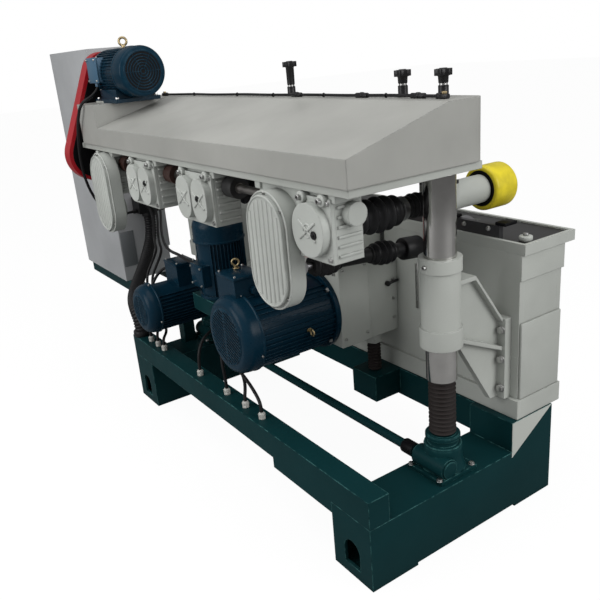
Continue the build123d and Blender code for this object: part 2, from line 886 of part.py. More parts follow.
def cover_body(inset, corner):
    """The outer or inner form of the sheet cover, with the level motor seat at its left end."""
    drop = inset * (math.hypot(1, beam_slope) - beam_slope)
    outline = [
        (beam_front + inset, beam_low), (beam_front + inset, beam_skirt_top - drop),
        (beam_shoulder - inset * beam_slope / 2, beam_top - inset), (beam_rear - inset, beam_top - inset),
        (beam_rear - inset, beam_low)]
    body = plate_yz((beam_left + inset, beam_right - inset), outline)
    seat_x = (beam_left + inset, beam_left + motor_seat_length - inset)
    body += block(seat_x, (beam_front + inset, beam_shoulder), (beam_low, beam_top - inset))
    left_ends = body.edges().filter_by(Axis.Z).group_by(Axis.X)[0]
    rear_right = body.edges().filter_by(Axis.Z).group_by(Axis.X)[-1].sort_by(Axis.Y)[-1:]
    return fillet(left_ends + rear_right, corner)


cover = cover_body(0, beam_corner) - cover_body(beam_wall, beam_corner - beam_wall)
for place in knob_places:
    cover -= rod_z(place, knob_y, (beam_low, beam_top), knob_stem_radius + running_fit)
nodes["beam_cover"] = cover

# Feed gearboxes under the casting, bored for the line shaft
gearboxes = []
shaft_bore = line_shaft_radius + running_fit
for low_x, high_x in gearbox_spans:
    box = block((low_x, high_x), (gearbox_front, gearbox_rear), (gearbox_low, casting_low))
    rib_x = (low_x - gearbox_rib_out, high_x + gearbox_rib_out)
    rib_y = (gearbox_front + gearbox_rib_out, gearbox_rear - gearbox_rib_out)
    for rib in range(gearbox_rib_count):
        rib_z = gearbox_low + gearbox_rib_start + gearbox_rib_step * rib
        box += block(rib_x, rib_y, (rib_z, rib_z + gearbox_rib_height))
    for place in unit_places:
        if low_x < place < high_x:
            box += rod_y(place, (gearbox_rear, boss_face), unit_z, output_boss_radius)
    bore_end = rib_x[1]
    if high_x == gearboxes_right:
        box += rod_x((high_x, high_x + shaft_cap_length), line_shaft_y, line_shaft_z, shaft_cap_radius)
        bore_end = line_shaft_end + free_gap
    gearboxes.append(box - rod_x((rib_x[0], bore_end), line_shaft_y, line_shaft_z, shaft_bore))
nodes["feed_gearboxes"] = Compound(children=gearboxes)

# Gearbox covers: two lobes on the plain boxes, one on the last, and drop cases for the lower shafts
covers = []
cover_z = (gearbox_low, casting_low - cover_top_gap)


def lobe(x, half):
    """One raised lobe of a gearbox cover."""
    lobe_z = (gearbox_low + half + lobe_low_margin, casting_low - half - lobe_high_margin)
    return slot_y(x, cover_y, lobe_z, half - lobe_inset)


for low_x, high_x in gearbox_spans[1:3]:
    middle = (low_x + high_x) / 2
    quarter = (high_x - low_x) / 4
    plate = block((low_x, high_x), cover_rim_y, cover_z)
    plate += lobe(middle - quarter, quarter) + lobe(middle + quarter, quarter)
    bridge_z = (gearbox_low + quarter, casting_low - quarter - lobe_high_margin)
    bridge_y = (cover_y[0] + lobe_bridge_setback, cover_y[1])
    covers.append(plate + block(about(middle, quarter), bridge_y, bridge_z))
last_x = (cardan_x + drop_radius + cover_joint, gearboxes_right)
plate = block(last_x, cover_rim_y, cover_z)
covers.append(plate + lobe((last_x[0] + last_x[1]) / 2, (last_x[1] - last_x[0]) / 2))
for x, low_z, high_z in drop_cases:
    case = slot_y(x, (drop_front + drop_rim, gearbox_front), (low_z, high_z), drop_radius)
    case += slot_y(x, (drop_front, gearbox_front), (low_z, high_z), drop_radius - drop_rim)
    case += rod_y(x, (gearbox_front, gearbox_front + drop_boss_length), low_z, drop_boss_radius)
    if x == cardan_x:
        seat_x = about(cardan_x, cardan_trunnion_half + slide_gap)
        case -= rod_x(seat_x, cardan_pivot_y, cardan_z, cardan_trunnion_radius + running_fit)
    covers.append(case)
nodes["gearbox_covers"] = Compound(children=covers)

# Feed motor on its base plate, on the cover's motor seat
cowl_start = feed_motor_cowl_x - feed_cowl_length
end_x = (feed_drive_x, feed_drive_x + feed_end_thickness)
cowl_place = Pos(cowl_start, feed_motor_y, feed_motor_z) * Rot(0, 90, 0)
motor = cowl_place * domed_cowl(feed_cowl_length, feed_motor_radius)
motor += rod_x((end_x[1], cowl_start), feed_motor_y, feed_motor_z, feed_motor_radius - feed_frame_step)
motor += rod_x(end_x, feed_motor_y, feed_motor_z, feed_motor_radius - feed_end_step)
feet_low = feed_motor_z - feed_motor_radius - feed_foot_gap
foot_x = (feed_drive_x + feed_foot_drive_inset, feed_motor_cowl_x - feed_foot_cowl_inset)
motor += block(foot_x, about(feed_motor_y, feed_base_half), (feet_low, feet_low + feed_foot_height))
terminal_start = feed_drive_x + feed_terminal_inset
terminal_y = (feed_motor_y - feed_motor_radius - feed_terminal_out, feed_motor_y - feed_terminal_in)
terminal_z = (feed_motor_z - feed_terminal_below, feed_motor_z + feed_terminal_above)
motor += block((terminal_start, terminal_start + feed_terminal_width), terminal_y, terminal_z)
plate_x = (feed_drive_x + feed_base_drive_inset, feed_motor_cowl_x - feed_base_cowl_inset)
plate_y = about(feed_motor_y, feed_base_half + feed_base_over)
motor += block(plate_x, plate_y, (beam_top, feet_low))
bore_x = (feed_drive_x, feed_drive_x + feed_shaft_depth + rotor_end_gap)
motor -= rod_x(bore_x, feed_motor_y, feed_motor_z, feed_shaft_radius + running_fit)
nodes["feed_motor"] = motor

# Feed rotor: the motor's shaft and pulley
rotor = rod_x((pulley_left, feed_drive_x + feed_shaft_depth), feed_motor_y, feed_motor_z, feed_shaft_radius)
rotor += rod_x((pulley_left, pulley_right), feed_motor_y, feed_motor_z, motor_pulley_radius)
nodes["feed_rotor"] = rotor

# Belt round both pulleys, and the guard round the belt
shaft_pulley = (line_shaft_y, line_shaft_z, shaft_pulley_radius)
motor_pulley = (feed_motor_y, feed_motor_z, motor_pulley_radius)
belt_x = (pulley_left + belt_side_gap, pulley_right - belt_side_gap)
belt = belt_prism(belt_x, shaft_pulley, motor_pulley, slide_gap + belt_thickness)
nodes["feed_belt"] = belt - belt_prism(belt_x, shaft_pulley, motor_pulley, slide_gap)
guard_low = (line_shaft_y - guard_low_back, line_shaft_z + guard_low_rise, guard_low_radius)
guard_circles = (guard_low, (feed_motor_y, feed_motor_z, guard_top_radius))
guard = belt_prism((guard_left, guard_right), *guard_circles, 0)
guard -= belt_prism((guard_left + guard_wall, guard_right - guard_wall), *guard_circles, -guard_wall)
hole_x = (guard_right - guard_wall, guard_right)
guard -= rod_x(hole_x, feed_motor_y, feed_motor_z, feed_shaft_radius + guard_hole_gap)
guard -= rod_x(hole_x, line_shaft_y, line_shaft_z, line_shaft_radius + guard_hole_gap)
nodes["belt_guard"] = guard

# Line shaft with its pulley and a coupling beside each of the first three gearboxes
line_shaft = rod_x((pulley_left, line_shaft_end), line_shaft_y, line_shaft_z, line_shaft_radius)
line_shaft += rod_x((pulley_left, pulley_right), line_shaft_y, line_shaft_z, shaft_pulley_radius)
for low_x, high_x in gearbox_spans[:-1]:
    start = high_x + coupling_gap
    line_shaft += rod_x((start, start + coupling_length), line_shaft_y, line_shaft_z, coupling_radius)
nodes["line_shaft"] = line_shaft

# Roller arms that float in the casting, and the feed rollers with their jointed shafts
shaft_front = boss_face + free_gap
joint_end = arm_front - coupling_shaft_end
first_boot_y = (boss_face + first_boot_start, boss_face + first_boot_start + first_boot_length)
second_boot_y = (boss_face + second_boot_start, joint_end)
for number, place in enumerate(unit_places, 1):
    arm = rod_y(place, (arm_front, arm_rear), unit_z, arm_radius)
    arm += rod_z(place, post_y, (unit_z, beam_low + post_above_beam), post_radius)
    pad_y = (arm_front, arm_front + arm_pad_length)
    arm += block(about(place, arm_radius), pad_y, (unit_z, unit_z + arm_pad_height))
    arm -= rod_y(place, (arm_front - post_radius, arm_rear), unit_z, roller_shaft_radius + running_fit)
    nodes[f"roller_arm_{number}"] = arm
    roller = rod_y(place, (shaft_front, joint_end), unit_z, neck_radius)
    roller += rod_y(place, (shaft_front, first_boot_y[0]), unit_z, yoke_radius)
    roller += rod_y(place, first_boot_y, unit_z, first_boot_radius)
    roller += rod_y(place, second_boot_y, unit_z, second_boot_radius)
    roller += rod_y(place, (joint_end, roller_rear - shaft_end_inset), unit_z, roller_shaft_radius)
    body_radius = roller_radius - tyre_thickness if place == unit_3_x else roller_radius
    roller += rod_y(place, (roller_front, roller_rear), unit_z, body_radius)
    nodes[f"feed_roller_{number}"] = roller
tyre = rod_y(unit_3_x, (roller_front, roller_rear), unit_z, roller_radius)
tyre -= rod_y(unit_3_x, (roller_front, roller_rear), unit_z, roller_radius - tyre_thickness)
nodes["roller_tyre"] = tyre

# Lower cardan shaft: a trunnion on the drop case, a tilted tube and an open cup over the roller's stub
tilted = Pos(cardan_x, cardan_pivot_y, cardan_z) * Rot(-90 - cardan_tilt, 0, 0)


def along_cardan(start, end, radius):
    """A round length of the cardan shaft, measured from its pivot."""
    return Pos(0, 0, (start + end) / 2) * Cylinder(radius, end - start)


pin_end = cardan_trunnion_radius + cardan_pin_length
trunnion = Rot(0, 90, 0) * Cylinder(cardan_trunnion_radius, 2 * cardan_trunnion_half)
nodes["cardan_yoke"] = tilted * (trunnion + along_cardan(0, pin_end, cardan_pin_radius))
shaft = along_cardan(cardan_tube_start, cardan_length, cardan_tube_radius)
shaft += along_cardan(cardan_tube_start, cardan_first_boot_end, cardan_boot_radius)
shaft += along_cardan(cardan_second_boot_start, cardan_second_boot_end, cardan_boot_radius)
shaft += along_cardan(cardan_cup_start, cardan_length, cardan_cup_radius)
shaft -= along_cardan(cardan_cup_start + cardan_cup_floor, cardan_length, cardan_cup_bore)
shaft -= along_cardan(cardan_tube_start, pin_end + free_gap, cardan_pin_radius + running_fit)
nodes["lower_cardan"] = tilted * shaft
stub_y = (bed_front - lower_stub_length, bed_room_y[1])
lower_roller = rod_y(cardan_x, stub_y, lower_roller_z, lower_stub_radius)
drum_y = (work_front, work_rear - lower_roller_end_gap)
nodes["lower_roller"] = lower_roller + rod_y(cardan_x, drum_y, lower_roller_z, lower_roller_radius)


def belt_guard_box(x, front, low):
    """The hollow guard over a head's upper pulley, open below, and its inner limits."""
    guard_x = about(x, head_guard_half)
    room_x = about(x, head_guard_half - head_guard_wall)
    room_y = (front + main_wall, head_guard_rear - head_guard_wall)
    box = block(guard_x, (front, head_guard_rear), (low, head_guard_top))
    box -= block(room_x, room_y, (low, head_guard_top - head_guard_wall))
    box -= rod_y(x, (room_y[1], head_guard_rear), spindle_z, spindle_radius + running_fit)
    return box, room_x, room_y


def quill(x, low):
    """The spindle's round housing and the web under it, still solid."""
    quill_y = (head_guard_rear, carriage_back)
    web = block(about(x, quill_radius), quill_y, (low, spindle_z))
    return web + rod_y(x, quill_y, spindle_z, quill_radius)


def cutter_spindle(x):
    """A spindle along Y with its pulley and cutter block."""
    pulley_y = (head_belt_front, head_belt_rear)
    spindle = rod_y(x, (head_belt_front, work_rear - spindle_end_gap), spindle_z, spindle_radius)
    spindle += rod_y(x, pulley_y, spindle_z, spindle_pulley_radius)
    return spindle + rod_y(x, cutter_y, spindle_z, cutter_radius)


# Main head: carriage with the belt guard on top, motor, rotor, cutter and belt
guard_box, guard_room_x, guard_room_y = belt_guard_box(main_x, main_flange_y, main_box_top)
box_room_x = (main_box_x[0] + main_wall, main_box_x[1] - main_wall)
box_room_y = (main_flange_y + main_wall, main_step_y - main_wall)
box_room_z = (main_box_low + main_wall, main_box_top - main_wall)
main_back_z = (main_back_low, main_back_top)
carriage = block(main_box_x, (main_flange_y, main_step_y), (main_box_low, main_box_top))
carriage += block(about(main_x, main_back_half), (main_step_y, carriage_back), main_back_z)
carriage += quill(main_x, main_back_top)
carriage -= block(box_room_x, box_room_y, box_room_z)
carriage -= block(guard_room_x, guard_room_y, (box_room_z[1], main_box_top))
carriage -= rod_y(main_x, (main_flange_y, box_room_y[0]), main_z, main_shaft_radius + free_gap)
carriage -= rod_y(main_x, (head_guard_rear, carriage_back), spindle_z, spindle_radius + running_fit)
collar_z = (main_back_low - main_collar_height, main_back_low)
screw_z = (bracket_z[0] - main_screw_stub, collar_z[0])
carriage += rod_z(main_screw_x, main_screw_y, collar_z, main_collar_radius)
carriage += rod_z(main_screw_x, main_screw_y, screw_z, main_screw_radius)
nodes["main_carriage"] = Compound(children=[carriage, guard_box])
motor_y = (main_motor_front, main_flange_y)
motor = spindle_motor(main_x, main_z, motor_y, main_motor_radius, main_cowl_length)
terminal_x = (main_x - main_terminal_left, main_x + main_terminal_right)
terminal_start = main_motor_front + main_terminal_start
terminal_y = (terminal_start, terminal_start + main_terminal_length)
motor += block(terminal_x, terminal_y, (main_z, main_z + main_terminal_rise))
bore_y = (main_flange_y - main_shaft_depth - rotor_end_gap, main_flange_y)
motor -= rod_y(main_x, bore_y, main_z, main_shaft_radius + running_fit)
nodes["main_motor"] = motor
rotor = rod_y(main_x, (main_flange_y - main_shaft_depth, head_belt_rear), main_z, main_shaft_radius)
nodes["main_rotor"] = rotor + rod_y(main_x, (head_belt_front, head_belt_rear), main_z, main_pulley_radius)
nodes["main_cutter"] = cutter_spindle(main_x)


def head_belt(grow):
    """The main head's belt outline, grown, as a prism along Y."""
    low = (main_x, main_z, main_pulley_radius)
    high = (main_x, spindle_z, spindle_pulley_radius)
    belt_limits = (head_belt_front + head_belt_side_gap, head_belt_rear - head_belt_side_gap)
    return mirror(Rot(0, 0, 90) * belt_prism(belt_limits, low, high, grow), Plane.YZ)


nodes["main_belt"] = head_belt(slide_gap + head_belt_thickness) - head_belt(slide_gap)
sizes = (main_bellows_ribs, main_bellows_radius, main_bellows_root, main_screw_radius + main_bellows_gap)
nodes["screw_bellows"] = ribbed_column(main_screw_x, main_screw_y, (rear_top, collar_z[0]), *sizes)

# Infeed head: carriage with a tall belt case, motor, rotor and cutter
case, case_room_x, case_room_y = belt_guard_box(infeed_x, infeed_flange_y, infeed_box_top)
infeed_box_z = (infeed_box_low, infeed_box_top)
carriage = block(about(infeed_x, infeed_box_half), (infeed_flange_y, carriage_back), infeed_box_z)
carriage += quill(infeed_x, infeed_box_top)
carriage -= block(case_room_x, case_room_y, (infeed_box_low + main_wall, infeed_box_top))
carriage -= rod_y(infeed_x, (infeed_flange_y, case_room_y[0]), infeed_z, infeed_shaft_radius + free_gap)
carriage -= rod_y(infeed_x, (head_guard_rear, carriage_back), spindle_z, spindle_radius + running_fit)
nodes["infeed_carriage"] = Compound(children=[carriage, case])
motor_y = (infeed_motor_front, infeed_flange_y)
motor = spindle_motor(infeed_x, infeed_z, motor_y, infeed_motor_radius, infeed_cowl_length)
terminal_start = infeed_motor_front + infeed_terminal_start
terminal_y = (terminal_start, terminal_start + infeed_terminal_length)
terminal_z = (infeed_z, infeed_z + infeed_terminal_rise)
motor += block(about(infeed_x, infeed_terminal_half), terminal_y, terminal_z)
bore_y = (infeed_flange_y - infeed_shaft_depth - rotor_end_gap, infeed_flange_y)
motor -= rod_y(infeed_x, bore_y, infeed_z, infeed_shaft_radius + running_fit)
nodes["infeed_motor"] = motor
shaft_y = (infeed_flange_y - infeed_shaft_depth, head_belt_rear)
rotor = rod_y(infeed_x, shaft_y, infeed_z, infeed_shaft_radius)
rotor += rod_y(infeed_x, (head_belt_front, head_belt_rear), infeed_z, main_pulley_radius)
nodes["infeed_rotor"] = rotor
nodes["infeed_cutter"] = cutter_spindle(infeed_x)

# Side head: a hollow shelf through the bed wall, the upright motor outside and the spindle at the fence
shelf_x = about(side_x, side_shelf_half)
shelf_y = (side_y - side_motor_radius, side_spindle_y + side_housing_radius + side_shelf_end)
shelf_room_x = (shelf_x[0] + main_wall, shelf_x[1] - main_wall)
shelf_room_y = (shelf_y[0] + main_wall, shelf_y[1] - main_wall)
shelf_roof = (side_motor_low - main_wall, side_motor_low)
bracket = block(shelf_x, shelf_y, (side_shelf_low, side_motor_low))
slide_plate_y = (carriage_back - side_plate_thickness, carriage_back)
slide_plate_z = (side_motor_low, side_housing_top - side_plate_below_housing)
bracket += block(about(side_x, side_shelf_half + side_plate_lap), slide_plate_y, slide_plate_z)
bracket += rod_z(side_x, side_spindle_y, (side_motor_low, side_housing_top), side_housing_radius)
bracket -= block(shelf_room_x, shelf_room_y, (side_shelf_low, shelf_roof[0]))
bracket -= rod_z(side_x, side_y, shelf_roof, side_shaft_radius + free_gap)
bore_z = (shelf_roof[0], side_housing_top)
bracket -= rod_z(side_x, side_spindle_y, bore_z, side_spindle_radius + running_fit)
nodes["side_bracket"] = bracket
cowl_low = side_motor_top - side_cowl_length
motor = Pos(side_x, side_y, cowl_low) * domed_cowl(side_cowl_length, side_motor_radius)
motor += rod_z(side_x, side_y, (side_motor_low, cowl_low), side_motor_radius - motor_frame_step)
motor += rod_z(side_x, side_y, (side_motor_low, side_motor_low + side_end_thickness), side_motor_radius)
terminal_y = (side_y - side_motor_radius - side_terminal_out, side_y - side_terminal_in)
terminal_low = side_motor_low + side_terminal_low
terminal_z = (terminal_low, terminal_low + side_terminal_height)
motor += block(about(side_x, side_terminal_half), terminal_y, terminal_z)
bore_z = (side_motor_low, side_motor_low + side_shaft_depth + rotor_end_gap)
motor -= rod_z(side_x, side_y, bore_z, side_shaft_radius + running_fit)
nodes["side_motor"] = motor
pulley_z = (side_shelf_low + side_pulley_low, shelf_roof[0] - side_pulley_gap)
rotor = rod_z(side_x, side_y, (pulley_z[0], side_motor_low + side_shaft_depth), side_shaft_radius)
nodes["side_rotor"] = rotor + rod_z(side_x, side_y, pulley_z, main_pulley_radius)
side_cutter_low = table_height + side_cutter_above_table
side_cutter_z = (side_cutter_low, side_cutter_low + side_cutter_height)
cutter = rod_z(side_x, side_spindle_y, (pulley_z[0], side_cutter_z[1]), side_spindle_radius)
cutter += rod_z(side_x, side_spindle_y, pulley_z, spindle_pulley_radius)
nodes["side_cutter"] = cutter + rod_z(side_x, side_spindle_y, side_cutter_z, side_cutter_radius)

# Pressure knobs on the cover
collar_low = beam_top + slide_gap
collar_top = collar_low + knob_collar_height
for number, (place, rise) in enumerate(zip(knob_places, knob_head_rises), 1):
    head_low = beam_top + rise
    knob = rod_z(place, knob_y, (beam_top - knob_stem_below, collar_top), knob_stem_radius)
    knob += rod_z(place, knob_y, (collar_low, collar_top), knob_collar_radius)
    knob += rod_z(place, knob_y, (collar_top, head_low), knob_neck_radius)
    knob += rod_z(place, knob_y, (head_low, head_low + knob_head_height), knob_head_radius)
    nodes[f"knob_{number}"] = knob

# Electrical cabinet, its door on the operator's side, and the cable box on its near side
cabinet = block((cabinet_left, cabinet_right), (cabinet_front, cabinet_rear), (cabinet_low, cabinet_top))
room_x = (cabinet_left + cabinet_wall, cabinet_right - cabinet_wall)
room_y = (cabinet_front + cabinet_wall, cabinet_rear - cabinet_wall)
cabinet -= block(room_x, room_y, (cabinet_low + cabinet_wall, cabinet_top - cabinet_wall))
doorway_x = (cabinet_left + 2 * door_margin, cabinet_right - 2 * door_margin)
doorway_z = (door_low + door_margin, cabinet_top - 2 * door_margin)
cabinet -= block(doorway_x, (room_y[1], cabinet_rear), doorway_z)
hinge_places = (door_low + hinge_low, cabinet_top - hinge_high)
lug_x = (hinge_x - hinge_lug_out, hinge_x - hinge_lug_in)
for z in hinge_places:
    cabinet += block(lug_x, (cabinet_rear, hinge_y), (z - hinge_lug_height, z))
    cabinet += rod_z(hinge_x, hinge_y, (z - hinge_lug_height, z + hinge_pin_height), hinge_pin_radius)
nodes["cabinet_body"] = cabinet
door_x = (hinge_x + hinge_side_gap, cabinet_right - door_margin)
door_y = (cabinet_rear + slide_gap, cabinet_rear + door_thickness)
door_top = cabinet_top - door_margin
door = block(door_x, door_y, (door_low, door_top))
tray_x = (door_x[0] + door_rim, door_x[1] - door_rim)
door -= block(tray_x, (door_y[0], door_y[1] - cabinet_wall), (door_low + door_rim, door_top - door_rim))
leaf_x = (hinge_x, door_x[0] + hinge_leaf_length)
for z in hinge_places:
    knuckle_z = (z + slide_gap, z + hinge_pin_height)
    knuckle = rod_z(hinge_x, hinge_y, knuckle_z, hinge_knuckle_radius)
    knuckle += block(leaf_x, (door_y[1], door_y[1] + hinge_leaf_thickness), knuckle_z)
    door += knuckle - rod_z(hinge_x, hinge_y, knuckle_z, hinge_pin_radius + running_fit)
latch_y = (door_y[1], door_y[1] + latch_out)
door += rod_y(door_x[1] - latch_inset, latch_y, (door_low + cabinet_top) / 2, latch_radius)
nodes["cabinet_door"] = door
nodes["cable_box"] = block(cable_box_x, cable_box_y, cable_box_z)

# Cable glands on the front beam, and the leads that run from them to the bed and the cable box
glands = []
for place in glands_x:
    gland = rod_z(place, gland_y, (roof_low, front_beam_top), gland_stem_radius)
    gland += rod_z(place, gland_y, (front_beam_top, front_beam_top + gland_height), gland_radius)
    glands.append(gland)
nodes["cable_glands"] = Compound(children=glands)
lead_routes = [
    [(-241, -388, 352), (-241, -388, 388), (-250, -376, 432), (-276, -336, 474), (-302, -262, 490),
     (-317, -180, 484), (-325, -96, 468), (-327, -14, 454), (-323, 66, 450), (-317, 142, 454),
     (-314, 204, 460), (-314, 258, 460)],
    [(-7, -388, 352), (-7, -388, 394), (-14, -390, 452), (-30, -380, 514), (-44, -346, 572),
     (-57, -286, 611), (-68, -212, 626), (-76, -132, 620), (-82, -52, 606), (-86, 28, 597), (-88, 108, 594),
     (-88, 186, 598), (-88, 258, 598)],
    [(139, -388, 352), (139, -388, 370), (130, -378, 390), (104, -362, 408), (72, -350, 422), (41, -344, 432),
     (10, -326, 440), (-14, -290, 446), (-30, -235, 452), (-42, -170, 460), (-50, -95, 468), (-55, -20, 476),
     (-58, 60, 483), (-59, 140, 488), (-59, 200, 490), (-59, 258, 490)],
    [(258, -388, 352), (258, -388, 374), (244, -386, 396), (212, -382, 414), (170, -378, 432), (130, -375, 446),
     (90, -372, 456), (52, -362, 468), (20, -336, 480), (-2, -290, 490), (-16, -230, 498), (-26, -160, 506),
     (-33, -85, 514), (-37, -10, 520), (-40, 70, 524), (-41, 150, 527), (-41, 205, 528), (-41, 258, 528)],
    [(-676, -388, 352), (-676, -388, 374), (-686, -380, 391), (-712, -366, 399), (-758, -348, 412),
     (-820, -330, 445), (-880, -318, 500), (-920, -306, 560), (-930, -290, 610), (-925, -264, 655),
     (-940, -232, 690), (-975, -206, 710), (-1026, -190, 722), (-1118, -154, 732), (-1204, -116, 752),
     (-1282, -80, 778), (-1352, -54, 802), (-1408, -40, 828), (-1451, -40, 828)],
    [(-608, -388, 352), (-608, -388, 372), (-616, -378, 387), (-640, -356, 393), (-690, -332, 396),
     (-756, -318, 410), (-816, -304, 446), (-866, -296, 500), (-900, -288, 556), (-908, -272, 606),
     (-902, -246, 650), (-916, -216, 684), (-954, -188, 706), (-1026, -166, 716), (-1118, -130, 726),
     (-1204, -92, 746), (-1282, -54, 772), (-1352, -24, 798), (-1408, -10, 826), (-1451, -10, 826)],
]
leads = [cord(points, lead_diameter, f"lead {number}") for number, points in enumerate(lead_routes, 1)]
nodes["gland_leads"] = Compound(children=leads)

# Cables of the feed motor, the side motor and the infeed motor
feed_cable_route = [
    (-1116, -312, 1521), (-1116, -312, 1504), (-1113, -328, 1481), (-1100, -364, 1458), (-1087, -404, 1446),
    (-1098, -425, 1416), (-1126, -425, 1388), (-1156, -424, 1358), (-1188, -424, 1314), (-1210, -424, 1260),
    (-1224, -426, 1202), (-1230, -425, 1144), (-1234, -420, 1088), (-1240, -408, 1030), (-1256, -384, 968),
    (-1286, -346, 912), (-1332, -290, 866), (-1388, -230, 834), (-1446, -176, 812), (-1494, -132, 806),
    (-1494, -82, 806)]
side_cable_route = [
    (-1451, 20, 830), (-1408, 20, 830), (-1352, 0, 812), (-1282, -32, 790), (-1204, -70, 766),
    (-1118, -108, 748), (-1026, -144, 738), (-930, -178, 734), (-834, -208, 738), (-740, -234, 748),
    (-646, -258, 762), (-554, -272, 772), (-478, -286, 775), (-404, -292, 776), (-335, -292, 776)]
infeed_cable_route = [
    (-758, -388, 352), (-758, -388, 394), (-772, -380, 444), (-790, -364, 496), (-800, -344, 550),
    (-798, -318, 602), (-782, -288, 646), (-752, -262, 672), (-706, -262, 672)]
nodes["feed_motor_cable"] = cord(feed_cable_route, cable_diameter, "feed motor cable")
nodes["side_motor_cable"] = cord(side_cable_route, cable_diameter, "side motor cable")
nodes["infeed_motor_cable"] = cord(infeed_cable_route, cable_diameter, "infeed motor cable")
# Corrugated conduit from the cable box down to the front beam
conduit_route = [
    (-1500, -10, 792), (-1500, -10, 672), (-1446, -66, 588), (-1352, -146, 528), (-1236, -232, 490),
    (-1114, -308, 470), (-1000, -360, 466), (-912, -386, 444), (-872, -388, 392), (-872, -388, 326)]
conduit_path = route(conduit_route, "conduit")
conduit_start, conduit_end = Vector(*conduit_route[0]), Vector(*conduit_route[-1])
steady_axis = (conduit_end - conduit_start).cross(Vector(0, 0, 1))
conduit_ribs = int((conduit_path.length - 2 * conduit_diameter) / conduit_pitch)
plain_share = conduit_diameter / conduit_path.length
rib_share = (1 - 2 * plain_share) / conduit_ribs


def conduit_section(share, diameter):
    """A circle across the conduit's path, with its X axis held steady."""
    plane = Plane(origin=conduit_path @ share, x_dir=steady_axis, z_dir=conduit_path % share)
    return plane * Circle(diameter / 2)


rib_profile = ((0.0, conduit_root), (0.25, conduit_diameter), (0.6, conduit_diameter), (0.85, conduit_root))
sections = [conduit_section(0, conduit_root)]
for rib in range(conduit_ribs):
    for part, diameter in rib_profile:
        sections.append(conduit_section(plain_share + (rib + part) * rib_share, diameter))
sections.append(conduit_section(1, conduit_root))
conduit_room = sweep(conduit_section(0, conduit_bore), path=conduit_path)
nodes["main_conduit"] = loft(sections, ruled=True) - conduit_room

# Air hose along the top of the cover, between two fittings
hose_z = beam_top + hose_lift
hose_route = [
    (-1060, 0, hose_z), (-990, 0, hose_z), (-890, 12, hose_z), (-790, 22, hose_z), (-690, 16, hose_z),
    (-590, 8, hose_z), (-490, 14, hose_z), (-396, 26, hose_z), (-300, 28, hose_z),
    (-200, 18, hose_z), (-100, 14, hose_z), (2, 20, hose_z), (108, 27, hose_z), (216, 24, hose_z),
    (326, 16, hose_z), (434, 20, hose_z), (540, 28, hose_z), (642, 26, hose_z), (726, 18, hose_z),
    (788, 18, hose_z)]
hose = cord(hose_route, hose_diameter, "air hose")
fitting_z = (beam_top, beam_top + fitting_height)
(first_x, first_y, _), (last_x, last_y, _) = hose_route[0], hose_route[-1]
fittings = [
    block((first_x - fitting_size, first_x), about(first_y, fitting_size / 2), fitting_z),
    block((last_x, last_x + fitting_size), about(last_y, fitting_size / 2), fitting_z),
]
nodes["air_hoses"] = Compound(children=[hose] + fittings)

os.makedirs("parts", exist_ok=True)
for name, shape in nodes.items():
    export_step(shape, f"parts/{name}.step")
print(len(nodes), "nodes")
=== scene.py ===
"""Looks of the through-feed moulder: cast and welded parts, motors, rubber, cords and their finishes.

Metres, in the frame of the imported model: +X towards the outfeed end, -Y the drive side, +Z up.
"""
import math
from itertools import product

import bmesh
import bpy
from mathutils import Matrix, Vector


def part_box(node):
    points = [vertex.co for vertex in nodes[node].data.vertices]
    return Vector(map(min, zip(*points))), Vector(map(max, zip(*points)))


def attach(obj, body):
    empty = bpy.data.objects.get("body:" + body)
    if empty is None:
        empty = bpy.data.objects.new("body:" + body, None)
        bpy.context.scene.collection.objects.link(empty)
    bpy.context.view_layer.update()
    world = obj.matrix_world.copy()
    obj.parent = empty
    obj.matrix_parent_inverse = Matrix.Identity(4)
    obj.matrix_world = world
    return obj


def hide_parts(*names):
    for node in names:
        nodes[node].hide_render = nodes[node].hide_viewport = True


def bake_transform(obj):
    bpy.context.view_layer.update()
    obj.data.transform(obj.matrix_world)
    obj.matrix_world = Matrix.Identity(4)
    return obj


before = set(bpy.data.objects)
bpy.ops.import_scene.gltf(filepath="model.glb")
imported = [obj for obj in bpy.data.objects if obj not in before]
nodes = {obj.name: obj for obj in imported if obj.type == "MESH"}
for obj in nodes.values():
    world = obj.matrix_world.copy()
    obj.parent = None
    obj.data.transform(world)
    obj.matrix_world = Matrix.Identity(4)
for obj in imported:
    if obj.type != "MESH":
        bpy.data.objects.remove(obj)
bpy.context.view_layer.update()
scene = bpy.context.scene

X = Vector((1, 0, 0))
Y = Vector((0, 1, 0))
Z = Vector((0, 0, 1))
MERGE = 1e-6
SHARP = math.radians(38)
MM_PER_METRE = 1000

# Places that several pieces share
LINE_SHAFT = Vector((0, -0.320, 1.160))
FEED_AXIS = Vector((0, -0.209, 1.557))
MAIN_X, MAIN_Z = 0.163, 0.641
INFEED_X, INFEED_Z = -0.641, 0.534
SPINDLE_Z = 0.898
COLUMNS_X = (-0.812, 0.812)
COLUMN_Y = -0.020
COVER_TOP = 1.428
HOSE_HEIGHT = 1.4355

